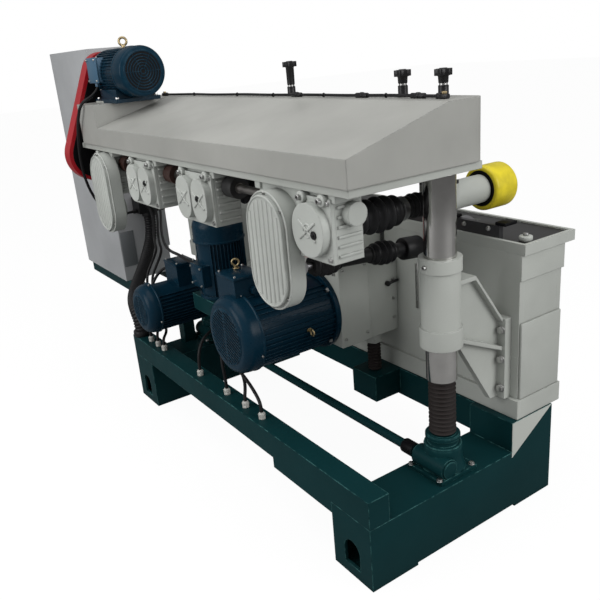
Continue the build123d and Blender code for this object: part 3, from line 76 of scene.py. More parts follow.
# Camera at the photograph's viewing angle
PHOTO_PIXELS = 600
PHOTO_FOCAL_PIXELS = 700.22
SENSOR = 36.0
CAMERA_PLACE = (2.274, -1.488, 1.600)
FARTHEST = 100
view_right = Vector((0.56775807, 0.81910993, -0.08191282))
view_down = Vector((0.23543582, -0.25692367, -0.93731542))
view_forward = Vector((-0.78880971, 0.51288318, -0.3387183))
camera_data = bpy.data.cameras.new("camera")
camera_data.sensor_width = SENSOR
camera_data.lens = PHOTO_FOCAL_PIXELS / PHOTO_PIXELS * SENSOR
camera_data.clip_end = FARTHEST
camera = bpy.data.objects.new("camera", camera_data)
camera_turn = Matrix((view_right, -view_down, -view_forward)).transposed().to_4x4()
camera.matrix_world = Matrix.Translation(CAMERA_PLACE) @ camera_turn
scene.collection.objects.link(camera)
scene.camera = camera
scene.view_settings.view_transform = "Standard"


# Shader sums: an output socket that Python expressions can use
# A Mix node's colour sockets go by number, because its socket names repeat
MIX_FIRST, MIX_SECOND, MIX_RESULT = 6, 7, 2


class Wire:
    """A node's output in Python sums and products; each of them adds a Math node."""

    def __init__(self, tree, socket):
        self.tree = tree
        self.socket = socket

    def node(self, kind, settings, values, result=0):
        """Adds a node, sets it up, then gives its sockets their values or links."""
        made = self.tree.nodes.new("ShaderNode" + kind)
        for name, setting in settings.items():
            if name == "stops":
                for stop, (position, grey) in zip(made.color_ramp.elements, setting):
                    stop.position = position
                    stop.color = (grey, grey, grey, 1)
            else:
                setattr(made, name, setting)
        for key, value in values.items():
            if isinstance(value, Wire):
                self.tree.links.new(value.socket, made.inputs[key])
            else:
                made.inputs[key].default_value = value
        return Wire(self.tree, made.outputs[result])

    def math(self, operation, first, second):
        return self.node("Math", {"operation": operation}, {0: first, 1: second})

    def __add__(self, other):
        return self.math("ADD", self, other)

    def __sub__(self, other):
        return self.math("SUBTRACT", self, other)

    def __rsub__(self, other):
        return self.math("SUBTRACT", other, self)

    def __mul__(self, other):
        return self.math("MULTIPLY", self, other)

    def __gt__(self, other):
        return self.math("GREATER_THAN", self, other)

    def __lt__(self, other):
        return self.math("LESS_THAN", self, other)

    __radd__ = __add__
    __rmul__ = __mul__


class Finish:
    """A material under way: the point on the surface, and the patterns that finishes share."""

    def __init__(self, name):
        self.material = bpy.data.materials.new(name)
        self.material.use_nodes = True
        self.tree = self.material.node_tree
        self.shader = self.tree.nodes["Principled BSDF"]
        coordinates = self.tree.nodes.new("ShaderNodeTexCoord")
        self.point = Wire(self.tree, coordinates.outputs["Object"])

    def part(self, axis):
        """One coordinate of the point, 0 for X, 1 for Y and 2 for Z."""
        return self.point.node("SeparateXYZ", {}, {0: self.point}, axis)

    def within(self, axis, low, high):
        """1 where a coordinate lies between two values, 0 elsewhere."""
        return (self.part(axis) > low) * (self.part(axis) < high)

    def noise(self, scale, detail, stretch=(1, 1, 1)):
        """Clouds: a larger scale makes them smaller, and stretch packs them closer along an axis."""
        place = self.point.node("Mapping", {}, {"Vector": self.point, "Scale": stretch})
        return self.point.node("TexNoise", {}, {"Vector": place, "Scale": scale, "Detail": detail})

    def ramp(self, value, low, high):
        """The value spread so that low becomes 0 and high becomes 1."""
        return self.point.node("ValToRGB", {"stops": ((low, 0.0), (high, 1.0))}, {0: value})

    def mix(self, factor, first, second):
        values = {0: factor, MIX_FIRST: first, MIX_SECOND: second}
        return self.point.node("Mix", {"data_type": "RGBA"}, values, MIX_RESULT)

    def soft_normal(self, radius):
        """The surface's direction with its edges rounded."""
        return self.point.node("Bevel", {"samples": 4}, {"Radius": radius})

    def edge(self, radius):
        """1 along the edges and corners, 0 on flat and gently curved faces."""
        true = self.point.node("NewGeometry", {}, {}, "True Normal")
        values = {0: self.soft_normal(radius), 1: true}
        same = self.point.node("VectorMath", {"operation": "DOT_PRODUCT"}, values, "Value")
        return self.ramp(1 - same, 0.02, 0.16)

    def crevice(self, reach):
        """1 deep in corners and gaps, 0 on open faces."""
        open_share = self.point.node("AmbientOcclusion", {"samples": 6}, {"Distance": reach}, "AO")
        return self.ramp(1 - open_share, 0.30, 0.95)

    def bump(self, height, strength, distance, radius):
        values = {"Height": height, "Strength": strength, "Distance": distance}
        if radius:
            values["Normal"] = self.soft_normal(radius)
        return self.point.node("Bump", {}, values)

    def done(self, **sockets):
        """Sets the shader's sockets, named with _ for a space, and gives the material."""
        for key, value in sockets.items():
            socket = self.shader.inputs[key.replace("_", " ")]
            if isinstance(value, Wire):
                self.tree.links.new(value.socket, socket)
            else:
                socket.default_value = value
        return self.material


def tone(red, green, blue):
    return (red, green, blue, 1)


def dimmed(colour, share):
    """A colour with a share of its brightness."""
    return tuple(share * part for part in colour[:3]) + (1,)


# Finishes
GREEN = tone(0.0055, 0.036, 0.040)
CREAM = tone(0.500, 0.520, 0.485)
CAST_CREAM = tone(0.56, 0.585, 0.55)
WARM_GREY = tone(0.410, 0.412, 0.386)
CABINET_GREY = tone(0.445, 0.458, 0.470)
PANEL_GREY = tone(0.19, 0.205, 0.215)
BLUE = tone(0.0035, 0.026, 0.048)
PALE_BLUE = tone(0.060, 0.145, 0.235)
RED = tone(0.42, 0.010, 0.018)
BLACK = tone(0.006, 0.006, 0.007)
POST_BLACK = tone(0.015, 0.015, 0.016)
FENCE_BLACK = tone(0.03, 0.03, 0.032)
# The green and cream edge tints stand for wear and for painted highlight along the edges
GREEN_WEAR_AND_HIGHLIGHT = tone(0.10, 0.28, 0.27)
CREAM_WEAR_AND_HIGHLIGHT = tone(0.78, 0.79, 0.77)
WORN_BLUE = tone(0.04, 0.12, 0.18)
DUST = tone(0.06, 0.06, 0.055)
# Dark brown for the crevices and gaps of steel
CREVICE_BROWN = tone(0.02, 0.017, 0.014)
FINE_GRAIN = 0.0006

# Where the colour changes on one casting
HEAD_GUARD_Y, HEAD_GUARD_Z = 0.0345, 0.8352
ARM_POST_Z = 1.158
FOOT_END_X, FOOT_POST_Y = 0.9065, 0.2145
SLANT, SLANT_START = 0.646, 0.067
PACKING_END_X, PACKING_TOP = -1.070, 1.4370
IRON_X = (-1.2035, 0.8915)
IRON_Y = (0.2719, 0.4955)
IRON_Z = 0.9545
FENCE_BACK, FENCE_FOOT = 0.2905, 0.9555
SHAFT_RADIUS = 0.018
BLACK_HUB_X = 0.05


def enamel(name, colour, wear_highlight_tint, gloss, peel, edge=0.004, zones=None, sheen=0.4, wear_highlight_share=0.5):
    """Sprayed enamel: soft orange peel, faint clouds, painted shade in the corners, and edges paled
    partly by wear and partly by painted highlight.
    """
    coat = Finish(name)
    peel_height = coat.noise(90, 2) + 0.5 * coat.noise(380, 2)
    base = coat.mix(coat.ramp(coat.noise(2.5, 5), 0.35, 0.70), dimmed(colour, 0.80), colour)
    if zones:
        base = zones(coat, base)
    # Painted shade: corners and gaps darkened towards a fifth of the paint's own colour
    shaded = coat.mix(0.55 * coat.crevice(0.05), base, dimmed(colour, 0.20))
    broken = coat.ramp(coat.noise(35, 4), 0.40, 0.62)
    # Paler edges: partly wear, partly painted highlight
    scuffed_and_lit = coat.mix(coat.edge(edge) * broken * wear_highlight_share, shaded, wear_highlight_tint)
    rough = gloss + 0.16 * coat.noise(14, 4)
    normal = coat.bump(peel_height, peel, 0.0012, edge)
    return coat.done(Base_Color=scuffed_and_lit, Roughness=rough, Normal=normal, Specular_IOR_Level=sheen)


def foot_zones(coat, base):
    """A little dust on the paint near the floor."""
    clean = coat.ramp(coat.part(2) + 0.08 * coat.noise(9, 4), 0.0, 0.22)
    return coat.mix((1 - clean) * 0.06, base, DUST)


def head_zones(coat, base):
    """The belt guard on top of the main carriage is red."""
    guard = (coat.part(2) > HEAD_GUARD_Z) * (coat.part(1) < HEAD_GUARD_Y)
    return coat.mix(guard, base, RED)


def arm_zones(coat, base):
    """The roller arm's slide post and block are black above the round housing."""
    return coat.mix(coat.part(2) > ARM_POST_Z, base, POST_BLACK)


def post_zones(coat, base):
    """The right foot's end is cream above a slanting line on its rear post."""
    slant = coat.part(2) - SLANT * coat.part(1)
    cream = (coat.part(0) > FOOT_END_X) * (coat.part(1) > FOOT_POST_Y) * (slant > SLANT_START)
    return coat.mix(cream, foot_zones(coat, base), CREAM)


def seat_zones(coat, base):
    """The drive end of the feed motor's base plate stands on a cream packing strip."""
    packing = (coat.part(2) < PACKING_TOP) * (coat.part(0) < PACKING_END_X)
    return coat.mix(packing, base, CREAM)


def ground_steel(name, colour, rough, streak, stretch):
    """Turned or ground steel with fine tool marks along one direction."""
    coat = Finish(name)
    marks = coat.noise(60, 6, stretch)
    oiled = coat.ramp(coat.noise(7, 4), 0.38, 0.66) * 0.5
    base = coat.mix(oiled, colour, dimmed(colour, 0.55))
    # Darker brown in crevices and gaps, set by an ambient-occlusion mask
    crevices_darker = coat.mix(0.6 * coat.crevice(0.02), base, CREVICE_BROWN)
    normal = coat.bump(marks, streak, FINE_GRAIN, 0.0015)
    return coat.done(Base_Color=crevices_darker, Roughness=rough + 0.18 * marks, Metallic=1.0, Normal=normal)


def rubber(name, colour, rough):
    """Moulded rubber, dull and dusty in patches."""
    coat = Finish(name)
    dust = coat.ramp(coat.noise(11, 5), 0.45, 0.75)
    pale = tuple(0.014 + part for part in colour[:3]) + (1,)
    base = coat.mix(dust * 0.5, colour, pale)
    rough = rough + 0.2 * dust
    normal = coat.bump(coat.noise(420, 3), 0.12, FINE_GRAIN, 0)
    return coat.done(Base_Color=base, Roughness=rough, Normal=normal, Specular_IOR_Level=0.25)


def moulded(name, colour, rough, grain_scale, grain):
    """Moulded plastic with a fine grain."""
    coat = Finish(name)
    base = coat.mix(coat.ramp(coat.noise(20, 4), 0.35, 0.7), dimmed(colour, 0.72), colour)
    rough = rough + 0.12 * coat.noise(30, 3)
    normal = coat.bump(coat.noise(grain_scale, 3), grain, FINE_GRAIN, 0.0012)
    return coat.done(Base_Color=base, Roughness=rough, Normal=normal, Specular_IOR_Level=0.3)


def table_finish():
    """Ground iron table with milling lines across it, a painted rim and a black fence."""
    coat = Finish("ground_table")
    lines = coat.noise(30, 5, (18, 0.6, 1))
    stain = coat.ramp(coat.noise(5, 6), 0.40, 0.72)
    iron = coat.mix(stain * 0.6, tone(0.060, 0.060, 0.060), tone(0.030, 0.028, 0.026))
    inside = coat.within(1, *IRON_Y) * coat.within(0, *IRON_X) * (coat.part(2) > IRON_Z)
    fence = inside * (coat.part(1) < FENCE_BACK) * (coat.part(2) > FENCE_FOOT)
    clouds = coat.ramp(coat.noise(3, 5), 0.35, 0.7)
    rim = coat.mix(clouds, dimmed(CREAM, 0.84), CREAM)
    base = coat.mix(fence, coat.mix(inside, rim, iron), FENCE_BLACK)
    rough = 0.42 - 0.10 * inside + 0.12 * lines
    metal = inside * (1 - fence) * 0.85
    normal = coat.bump(lines, 0.10, 0.0005, 0.002)
    return coat.done(Base_Color=base, Roughness=rough, Metallic=metal, Normal=normal)


def shaft_finish():
    """Line shaft: dark oiled steel, rust-brown couplings and one black one."""
    coat = Finish("oiled_shaft")
    values = {"Vector": coat.point, "Location": -LINE_SHAFT, "Scale": (0, 1, 1)}
    across = coat.point.node("Mapping", {}, values)
    radius = coat.point.node("VectorMath", {"operation": "LENGTH"}, {0: across}, "Value")
    hub = radius > SHAFT_RADIUS
    mottled = coat.ramp(coat.noise(40, 5), 0.35, 0.7)
    primer = coat.mix(mottled, tone(0.036, 0.014, 0.011), tone(0.060, 0.026, 0.020))
    black = coat.mix(mottled, tone(0.012, 0.012, 0.013), tone(0.03, 0.03, 0.03))
    hubs = coat.mix(coat.part(0) > BLACK_HUB_X, primer, black)
    base = coat.mix(hub, tone(0.22, 0.21, 0.20), hubs)
    normal = coat.bump(coat.noise(70, 4, (1, 6, 6)), 0.15, FINE_GRAIN, 0.0015)
    return coat.done(Base_Color=base, Roughness=0.38 + 0.2 * mottled, Metallic=1 - hub, Normal=normal)


green_look = {"gloss": 0.30, "peel": 0.16, "edge": 0.005, "sheen": 0.05, "wear_highlight_share": 0.9}
head_look = {"gloss": 0.36, "peel": 0.14}
cover_look = {"gloss": 0.30, "peel": 0.07, "edge": 0.007}
powder_look = {"gloss": 0.42, "peel": 0.30, "edge": 0.003}
blue_look = {"gloss": 0.20, "peel": 0.10, "edge": 0.003, "sheen": 0.12}
pale_look = {"gloss": 0.30, "peel": 0.14, "edge": 0.003}
red_look = {"gloss": 0.30, "peel": 0.12, "edge": 0.003, "sheen": 0.25}
black_look = {"gloss": 0.36, "peel": 0.14, "edge": 0.003, "sheen": 0.08}
green_paint = enamel("green_enamel", GREEN, GREEN_WEAR_AND_HIGHLIGHT, zones=foot_zones, **green_look)
post_paint = enamel("two_tone_enamel", GREEN, GREEN_WEAR_AND_HIGHLIGHT, zones=post_zones, **green_look)
cream_paint = enamel("cream_enamel", CREAM, CREAM_WEAR_AND_HIGHLIGHT, gloss=0.34, peel=0.10)
cast_cream = enamel("cream_casting", CAST_CREAM, CREAM_WEAR_AND_HIGHLIGHT, gloss=0.36, peel=0.55, edge=0.006)
head_paint = enamel("head_enamel", CREAM, CREAM_WEAR_AND_HIGHLIGHT, zones=head_zones, **head_look)
arm_paint = enamel("arm_enamel", CREAM, CREAM_WEAR_AND_HIGHLIGHT, zones=arm_zones, **head_look)
cover_paint = enamel("cover_enamel", WARM_GREY, tone(0.52, 0.53, 0.51), **cover_look)
cabinet_paint = enamel("cabinet_powder", CABINET_GREY, tone(0.52, 0.54, 0.55), **powder_look)
panel_paint = enamel("panel_powder", PANEL_GREY, tone(0.3, 0.32, 0.33), **powder_look)
blue_paint = enamel("blue_enamel", BLUE, WORN_BLUE, **blue_look)
seat_paint = enamel("feed_motor_enamel", BLUE, WORN_BLUE, zones=seat_zones, **blue_look)
terminal_paint = enamel("pale_blue_enamel", PALE_BLUE, tone(0.18, 0.30, 0.40), **pale_look)
guard_paint = enamel("red_enamel", RED, tone(0.62, 0.12, 0.11), **red_look)
black_paint = enamel("black_enamel", BLACK, tone(0.06, 0.06, 0.06), **black_look)
column_steel = ground_steel("ground_column", tone(0.66, 0.65, 0.63), rough=0.03, streak=0.04,
                            stretch=(1, 1, 14))
shaft_steel = ground_steel("turned_steel", tone(0.34, 0.34, 0.35), rough=0.26, streak=0.12,
                           stretch=(1, 8, 1))
tool_steel = ground_steel("tool_steel", tone(0.42, 0.42, 0.43), rough=0.22, streak=0.10,
                          stretch=(6, 1, 1))
zinc = ground_steel("zinc_plate", tone(0.55, 0.55, 0.54), rough=0.24, streak=0.06, stretch=(3, 3, 3))
yellow_zinc = ground_steel("passivated_zinc", tone(0.58, 0.46, 0.26), rough=0.26, streak=0.06,
                           stretch=(3, 3, 3))
oiled_shaft = shaft_finish()
ground_table = table_finish()
bellows_rubber = rubber("bellows_rubber", tone(0.022, 0.017, 0.016), rough=0.62)
boot_rubber = rubber("boot_rubber", tone(0.010, 0.010, 0.011), rough=0.40)
cable_skin = rubber("cable_skin", tone(0.008, 0.008, 0.009), rough=0.42)
conduit_skin = rubber("conduit_skin", tone(0.010, 0.010, 0.011), rough=0.46)
belt_rubber = rubber("belt_rubber", tone(0.015, 0.015, 0.015), rough=0.55)
black_plastic = moulded("black_plastic", tone(0.011, 0.011, 0.012), rough=0.30, grain_scale=260,
                        grain=0.10)
white_nylon = moulded("white_nylon", tone(0.62, 0.62, 0.58), rough=0.38, grain_scale=300, grain=0.06)
tyre_yellow = moulded("yellow_polyurethane", tone(0.80, 0.66, 0.03), rough=0.30, grain_scale=60,
                      grain=0.06)

node_finishes = {
    green_paint: ("foot_left", "front_beam", "rear_beam", "cabinet_arms", "lift_jacks", "lift_shaft",
                  "side_bracket"),
    post_paint: ("foot_right",),
    cream_paint: ("bed", "column_sleeves", "beam_casting"),
    cast_cream: ("feed_gearboxes", "gearbox_covers", "infeed_carriage"),
    head_paint: ("main_carriage",),
    arm_paint: ("roller_arm_1", "roller_arm_2", "roller_arm_3"),
    cover_paint: ("beam_cover",),
    cabinet_paint: ("cabinet_body", "cabinet_door"),
    blue_paint: ("main_motor", "infeed_motor", "side_motor"),
    seat_paint: ("feed_motor",),
    guard_paint: ("belt_guard",),
    column_steel: ("guide_columns",),
    shaft_steel: ("lift_screws", "feed_rotor", "main_rotor", "infeed_rotor", "side_rotor",
                  "feed_roller_1", "feed_roller_2", "feed_roller_3", "cardan_yoke", "lower_cardan",
                  "lower_roller"),
    tool_steel: ("main_cutter", "infeed_cutter", "side_cutter"),
    zinc: ("sleeve_bolts",),
    oiled_shaft: ("line_shaft",),
    ground_table: ("table_plate",),
    bellows_rubber: ("column_bellows", "screw_bellows"),
    cable_skin: ("gland_leads", "feed_motor_cable", "side_motor_cable", "infeed_motor_cable",
                 "air_hoses"),
    conduit_skin: ("main_conduit",),
    belt_rubber: ("feed_belt", "main_belt"),
    black_plastic: ("knob_1", "knob_2", "knob_3", "cable_box"),
    white_nylon: ("cable_glands",),
    tyre_yellow: ("roller_tyre",),
}
for finish, names in node_finishes.items():
    for name in names:
        nodes[name].data.materials.clear()
        nodes[name].data.materials.append(finish)


# Modelling helpers
HEX_SIDES = 6
BAR_SIDES = 32
ROUND_SIDES = 40

# Parts of screws and bolts, as shares of the thread size
WASHER_HEIGHT = 0.18
WASHER_RADIUS = 1.05
WASHER_SOFT = 0.04
HEX_HEIGHT = 0.65
HEX_RADIUS = 0.92
HEX_SOFT = 0.08
SCREW_RADIUS = 0.75
SCREW_EDGE = 0.9
SOCKET_RADIUS = 0.43
SOCKET_DEPTH = 0.5
EYE_RADIUS = 0.85
EYE_WIRE = 0.27
EYE_MIDDLE = 1.6
EYE_COLLAR = 0.3
EYE_COLLAR_SOFT = 0.06
EYE_NECK = 0.9
EYE_NECK_RADIUS = 0.42


def fresh(count):
    """New empty meshes to model in."""
    return [bmesh.new() for _ in range(count)]


def facing(place, direction):
    """A frame at a place, its Z axis along a direction."""
    turn = Vector(direction).to_track_quat("Z", "Y")
    return Matrix.Translation(place) @ turn.to_matrix().to_4x4()


def spun(place, degrees):
    """A place turned about its own Z axis."""
    return place @ Matrix.Rotation(math.radians(degrees), 4, "Z")


def polar(radius, angle):
    """Across and up of a point on a circle."""
    return radius * math.cos(angle), radius * math.sin(angle)


def arc(middle, radius, start, end, steps):
    """Points (across, up) along an arc whose centre is up by middle."""
    angles = [start + (end - start) * step / steps for step in range(steps + 1)]
    return [(across, middle + up) for across, up in (polar(radius, angle) for angle in angles)]


def wave(turns):
    """A smooth wave: 0 at each whole turn and 1 halfway between."""
    return 0.5 - 0.5 * math.cos(math.tau * turns)


def soften(bm, edges, width):
    bmesh.ops.bevel(bm, geom=list(edges), offset=width, offset_type="OFFSET", segments=2, profile=0.5,
                    affect="EDGES", material=-1, clamp_overlap=True)


def block(bm, low, high, soft=0.0, place=Matrix()):
    """A box between two corners, with rounded edges."""
    low, high = Vector(low), Vector(high)
    size = Matrix.Diagonal((*(high - low), 1))
    middle = Matrix.Translation((low + high) / 2)
    made = bmesh.ops.create_cube(bm, size=1, matrix=place @ middle @ size)
    if soft:
        soften(bm, {edge for vert in made["verts"] for edge in vert.link_edges}, soft)


def rod(bm, start, end, radius, soft=0.0, sides=BAR_SIDES):
    """A round bar between two points, with rounded rims."""
    start, end = Vector(start), Vector(end)
    place = facing((start + end) / 2, end - start)
    made = bmesh.ops.create_cone(bm, cap_ends=True, segments=sides, radius1=radius, radius2=radius,
                                 depth=(end - start).length, matrix=place)
    if soft:
        faces = {face for vert in made["verts"] for face in vert.link_faces}
        soften(bm, {edge for face in faces if len(face.verts) == sides for edge in face.edges}, soft)


def turned(bm, place, profile, sides=ROUND_SIDES):
    """A turned shape: (along, radius) points spun about the Z axis of a place."""
    before = set(bm.verts)
    points = [bm.verts.new((radius, 0, along)) for along, radius in profile]
    edges = [bm.edges.new(pair) for pair in zip(points, points[1:])]
    bmesh.ops.spin(bm, geom=points + edges, axis=Z, cent=(0, 0, 0), angle=math.tau, steps=sides,
                   use_merge=True)
    bmesh.ops.transform(bm, matrix=place, verts=[vert for vert in bm.verts if vert not in before])


def ring(bm, place, radius, thickness, sides=ROUND_SIDES):
    """A round ring about the Z axis of a place."""
    steps = 10
    angles = [math.tau * step / steps for step in range(steps + 1)]
    profile = [(thickness * math.sin(angle), radius + thickness * math.cos(angle)) for angle in angles]
    turned(bm, place, profile, sides)


def prism(bm, outline, thickness, place, soft=0.0):
    """A plate with an outline in the XY plane of a place, thick along its Z axis."""
    corners = [bm.verts.new(place @ Vector((across, up, 0))) for across, up in outline]
    raised = bmesh.ops.extrude_face_region(bm, geom=[bm.faces.new(corners)])
    lifted = [item for item in raised["geom"] if isinstance(item, bmesh.types.BMVert)]
    bmesh.ops.translate(bm, vec=place.to_3x3() @ Vector((0, 0, thickness)), verts=lifted)
    if soft:
        soften(bm, {edge for vert in corners + lifted for edge in vert.link_edges}, soft)


def hex_bolt(bm, place, direction, size):
    """A washer and a hexagon head of a thread size, standing on a face."""
    seat = Vector(place)
    up = Vector(direction).normalized() * size
    rod(bm, seat, seat + WASHER_HEIGHT * up, WASHER_RADIUS * size, WASHER_SOFT * size, sides=24)
    top = seat + (WASHER_HEIGHT + HEX_HEIGHT) * up
    rod(bm, seat, top, HEX_RADIUS * size, HEX_SOFT * size, HEX_SIDES)


def socket_screw(bm, place, direction, size):
    """A socket head screw of a thread size, standing on a face."""
    rim, socket = SCREW_RADIUS * size, SOCKET_RADIUS * size
    bottom = (1 - SOCKET_DEPTH) * size
    turned(bm, facing(place, direction), [
        (0, 0), (0, rim), (SCREW_EDGE * size, rim), (size, SCREW_EDGE * rim), (size, socket),
        (bottom, socket), (bottom, 0)], sides=20)


def gland_nut(bm, place, along, radius=0.013, soft=0.001):
    """A cable gland's hexagon, as long as the along vector."""
    rod(bm, place, place + along, radius, soft, HEX_SIDES)


def eye_bolt(bm, place, direction, across, size):
    """A lifting eye: a collar, a neck and a ring that turns about the across direction."""
    seat = Vector(place)
    up = Vector(direction).normalized() * size
    rod(bm, seat, seat + EYE_COLLAR * up, EYE_RADIUS * size, EYE_COLLAR_SOFT * size)
    rod(bm, seat, seat + EYE_NECK * up, EYE_NECK_RADIUS * size, 0, sides=20)
    ring(bm, facing(seat + EYE_MIDDLE * up, across), EYE_RADIUS * size, EYE_WIRE * size)


def piece(name, bm, finish, body=None, stands_for=()):
    """Closes a mesh under way into an object with its finish, and sets it on a body."""
    bmesh.ops.remove_doubles(bm, verts=bm.verts, dist=MERGE)
    bmesh.ops.recalc_face_normals(bm, faces=bm.faces)
    mesh = bpy.data.meshes.new(name)
    bm.to_mesh(mesh)
    bm.free()
    mesh.shade_smooth()
    mesh.set_sharp_from_angle(angle=SHARP)
    mesh.materials.append(finish)
    made = bpy.data.objects.new(name, mesh)
    scene.collection.objects.link(made)
    if body:
        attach(made, body)
    if stands_for:
        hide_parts(*stands_for)
    return made


# Lines along cords

def smooth_line(name, route):
    """A curve of one NURBS spline whose control points are a route's points."""
    curve = bpy.data.curves.new(name, "CURVE")
    curve.dimensions = "3D"
    curve.resolution_u = 16
    spline = curve.splines.new("NURBS")
    spline.points.add(len(route) - 1)
    for control, point in zip(spline.points, route):
        control.co = (*point, 1)
    spline.order_u = 3
    spline.use_endpoint_u = True
    return curve


def line_points(route):
    """Points close together along a route's smooth line."""
    curve = smooth_line("guide", route)
    holder = bpy.data.objects.new("guide", curve)
    mesh = bpy.data.meshes.new_from_object(holder)
    points = [vertex.co.copy() for vertex in mesh.vertices]
    bpy.data.objects.remove(holder)
    bpy.data.meshes.remove(mesh)
    bpy.data.curves.remove(curve)
    return points


def stations(points, spacing):
    """Places at even steps along a line, each with its Z axis along it and no twist."""
    runs = [(after - before).length for before, after in zip(points, points[1:])]
    count = round(sum(runs) / spacing)
    turn = (points[1] - points[0]).to_track_quat("Z", "Y")
    places = []
    passed, run = 0.0, 0
    for step in range(count + 1):
        target = sum(runs) * step / count
        while run < len(runs) - 1 and passed + runs[run] < target:
            passed += runs[run]
            run += 1
        point = points[run].lerp(points[run + 1], (target - passed) / runs[run])
        turn = (turn @ Z).rotation_difference(points[run + 1] - points[run]) @ turn
        places.append(Matrix.Translation(point) @ turn.to_matrix().to_4x4())
    return places


def tube(bm, places, radii, sides=16, closed=False):
    """A skin through circles across a line, with its two ends filled unless they meet."""
    loops = []
    for place, radius in zip(places, radii):
        circle = bmesh.ops.create_circle(bm, cap_ends=False, segments=sides, radius=radius, matrix=place)
        loops.append(list({edge for vert in circle["verts"] for edge in vert.link_edges}))
    for before, after in zip(loops, loops[1:]):
        bmesh.ops.bridge_loops(bm, edges=before + after)
    if not closed:
        bmesh.ops.holes_fill(bm, edges=loops[0] + loops[-1], sides=0)


def millimetres(*points):
    """A route given in millimetres, in metres."""
    return [Vector(point) / MM_PER_METRE for point in points]


# Cords: leads from the glands, the air hose, the motors' cables and the conduit
LEAD_DIAMETER = 0.013
CABLE_DIAMETER = 0.014
CABLE_STEP = 0.008
HOSE_DIAMETER = 0.010


def cord(name, route, diameter, node, body):
    """A cord that stays on one body."""
    curve = smooth_line(name, route)
    curve.bevel_depth = diameter / 2
    curve.bevel_resolution = 4
    curve.use_fill_caps = True
    curve.materials.append(cable_skin)
    made = bpy.data.objects.new(name, curve)
    scene.collection.objects.link(made)
    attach(made, body)
    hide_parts(node)


def moving_cable(name, route, node):
    """A motor's cable from a still body, at the route's first point, to a body that moves."""
    points = line_points(route)
    bm = bmesh.new()
    places = stations(points, CABLE_STEP)
    tube(bm, places, [CABLE_DIAMETER / 2] * len(places))
    made = piece(name, bm, cable_skin, stands_for=(node,))
    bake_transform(made)


lead_routes = [
    (0.748, millimetres(
        (-241, -388, 352), (-241, -388, 388), (-250, -376, 432), (-276, -336, 474), (-302, -262, 490),
        (-317, -180, 484), (-325, -96, 468), (-327, -14, 454), (-323, 66, 450), (-317, 142, 454),
        (-314, 204, 460), (-314, 258, 460))),
    (0.852, millimetres(
        (-7, -388, 352), (-7, -388, 394), (-14, -390, 452), (-30, -380, 514), (-44, -346, 572),
        (-57, -286, 611), (-68, -212, 626), (-76, -132, 620), (-82, -52, 606), (-86, 28, 597),
        (-88, 108, 594), (-88, 186, 598), (-88, 258, 598))),
    (0.780, millimetres(
        (139, -388, 352), (139, -388, 370), (130, -378, 390), (104, -362, 408), (72, -350, 422),
        (41, -344, 432), (10, -326, 440), (-14, -290, 446), (-30, -235, 452), (-42, -170, 460),
        (-50, -95, 468), (-55, -20, 476), (-58, 60, 483), (-59, 140, 488), (-59, 200, 490),
        (-59, 258, 490))),
    (0.901, millimetres(
        (258, -388, 352), (258, -388, 374), (244, -386, 396), (212, -382, 414), (170, -378, 432),
        (130, -375, 446), (90, -372, 456), (52, -362, 468), (20, -336, 480), (-2, -290, 490),
        (-16, -230, 498), (-26, -160, 506), (-33, -85, 514), (-37, -10, 520), (-40, 70, 524),
        (-41, 150, 527), (-41, 205, 528), (-41, 258, 528))),
    (1.074, millimetres(
        (-676, -388, 352), (-676, -388, 374), (-686, -380, 391), (-712, -366, 399), (-758, -348, 412),
        (-820, -330, 445), (-880, -318, 500), (-920, -306, 560), (-930, -290, 610), (-925, -264, 655),
        (-940, -232, 690), (-975, -206, 710), (-1026, -190, 722), (-1118, -154, 732), (-1204, -116, 752),
        (-1282, -80, 778), (-1352, -54, 802), (-1408, -40, 828), (-1451, -40, 828))),
    (1.154, millimetres(
        (-608, -388, 352), (-608, -388, 372), (-616, -378, 387), (-640, -356, 393), (-690, -332, 396),
        (-756, -318, 410), (-816, -304, 446), (-866, -296, 500), (-900, -288, 556), (-908, -272, 606),
        (-902, -246, 650), (-916, -216, 684), (-954, -188, 706), (-1026, -166, 716), (-1118, -130, 726),
        (-1204, -92, 746), (-1282, -54, 772), (-1352, -24, 798), (-1408, -10, 826), (-1451, -10, 826))),
]
for number, (length, route) in enumerate(lead_routes, 1):
    cord(f"lead_{number}", route, LEAD_DIAMETER, "gland_leads", "base")
feed_cable_route = millimetres(
    (-1494, -82, 806), (-1494, -132, 806), (-1446, -176, 812), (-1388, -230, 834), (-1332, -290, 866),
    (-1286, -346, 912), (-1256, -384, 968), (-1240, -408, 1030), (-1234, -420, 1088),
    (-1230, -425, 1144), (-1224, -426, 1202), (-1210, -424, 1260), (-1188, -424, 1314),
    (-1156, -424, 1358), (-1126, -425, 1388), (-1098, -425, 1416), (-1087, -404, 1446),
    (-1100, -364, 1458), (-1113, -328, 1481), (-1116, -312, 1504), (-1116, -312, 1521))
side_cable_route = millimetres(
    (-1451, 20, 830), (-1408, 20, 830), (-1352, 0, 812), (-1282, -32, 790), (-1204, -70, 766),
    (-1118, -108, 748), (-1026, -144, 738), (-930, -178, 734), (-834, -208, 738), (-740, -234, 748),
    (-646, -258, 762), (-554, -272, 772), (-478, -286, 775), (-404, -292, 776), (-335, -292, 776))
infeed_cable_route = millimetres(
    (-758, -388, 352), (-758, -388, 394), (-772, -380, 444), (-790, -364, 496), (-800, -344, 550),
    (-798, -318, 602), (-782, -288, 646), (-752, -262, 672), (-706, -262, 672))
moving_cable("feed_cable", feed_cable_route, "feed_motor_cable")
moving_cable("side_cable", side_cable_route, "side_motor_cable")
moving_cable("infeed_cable", infeed_cable_route, "infeed_motor_cable")
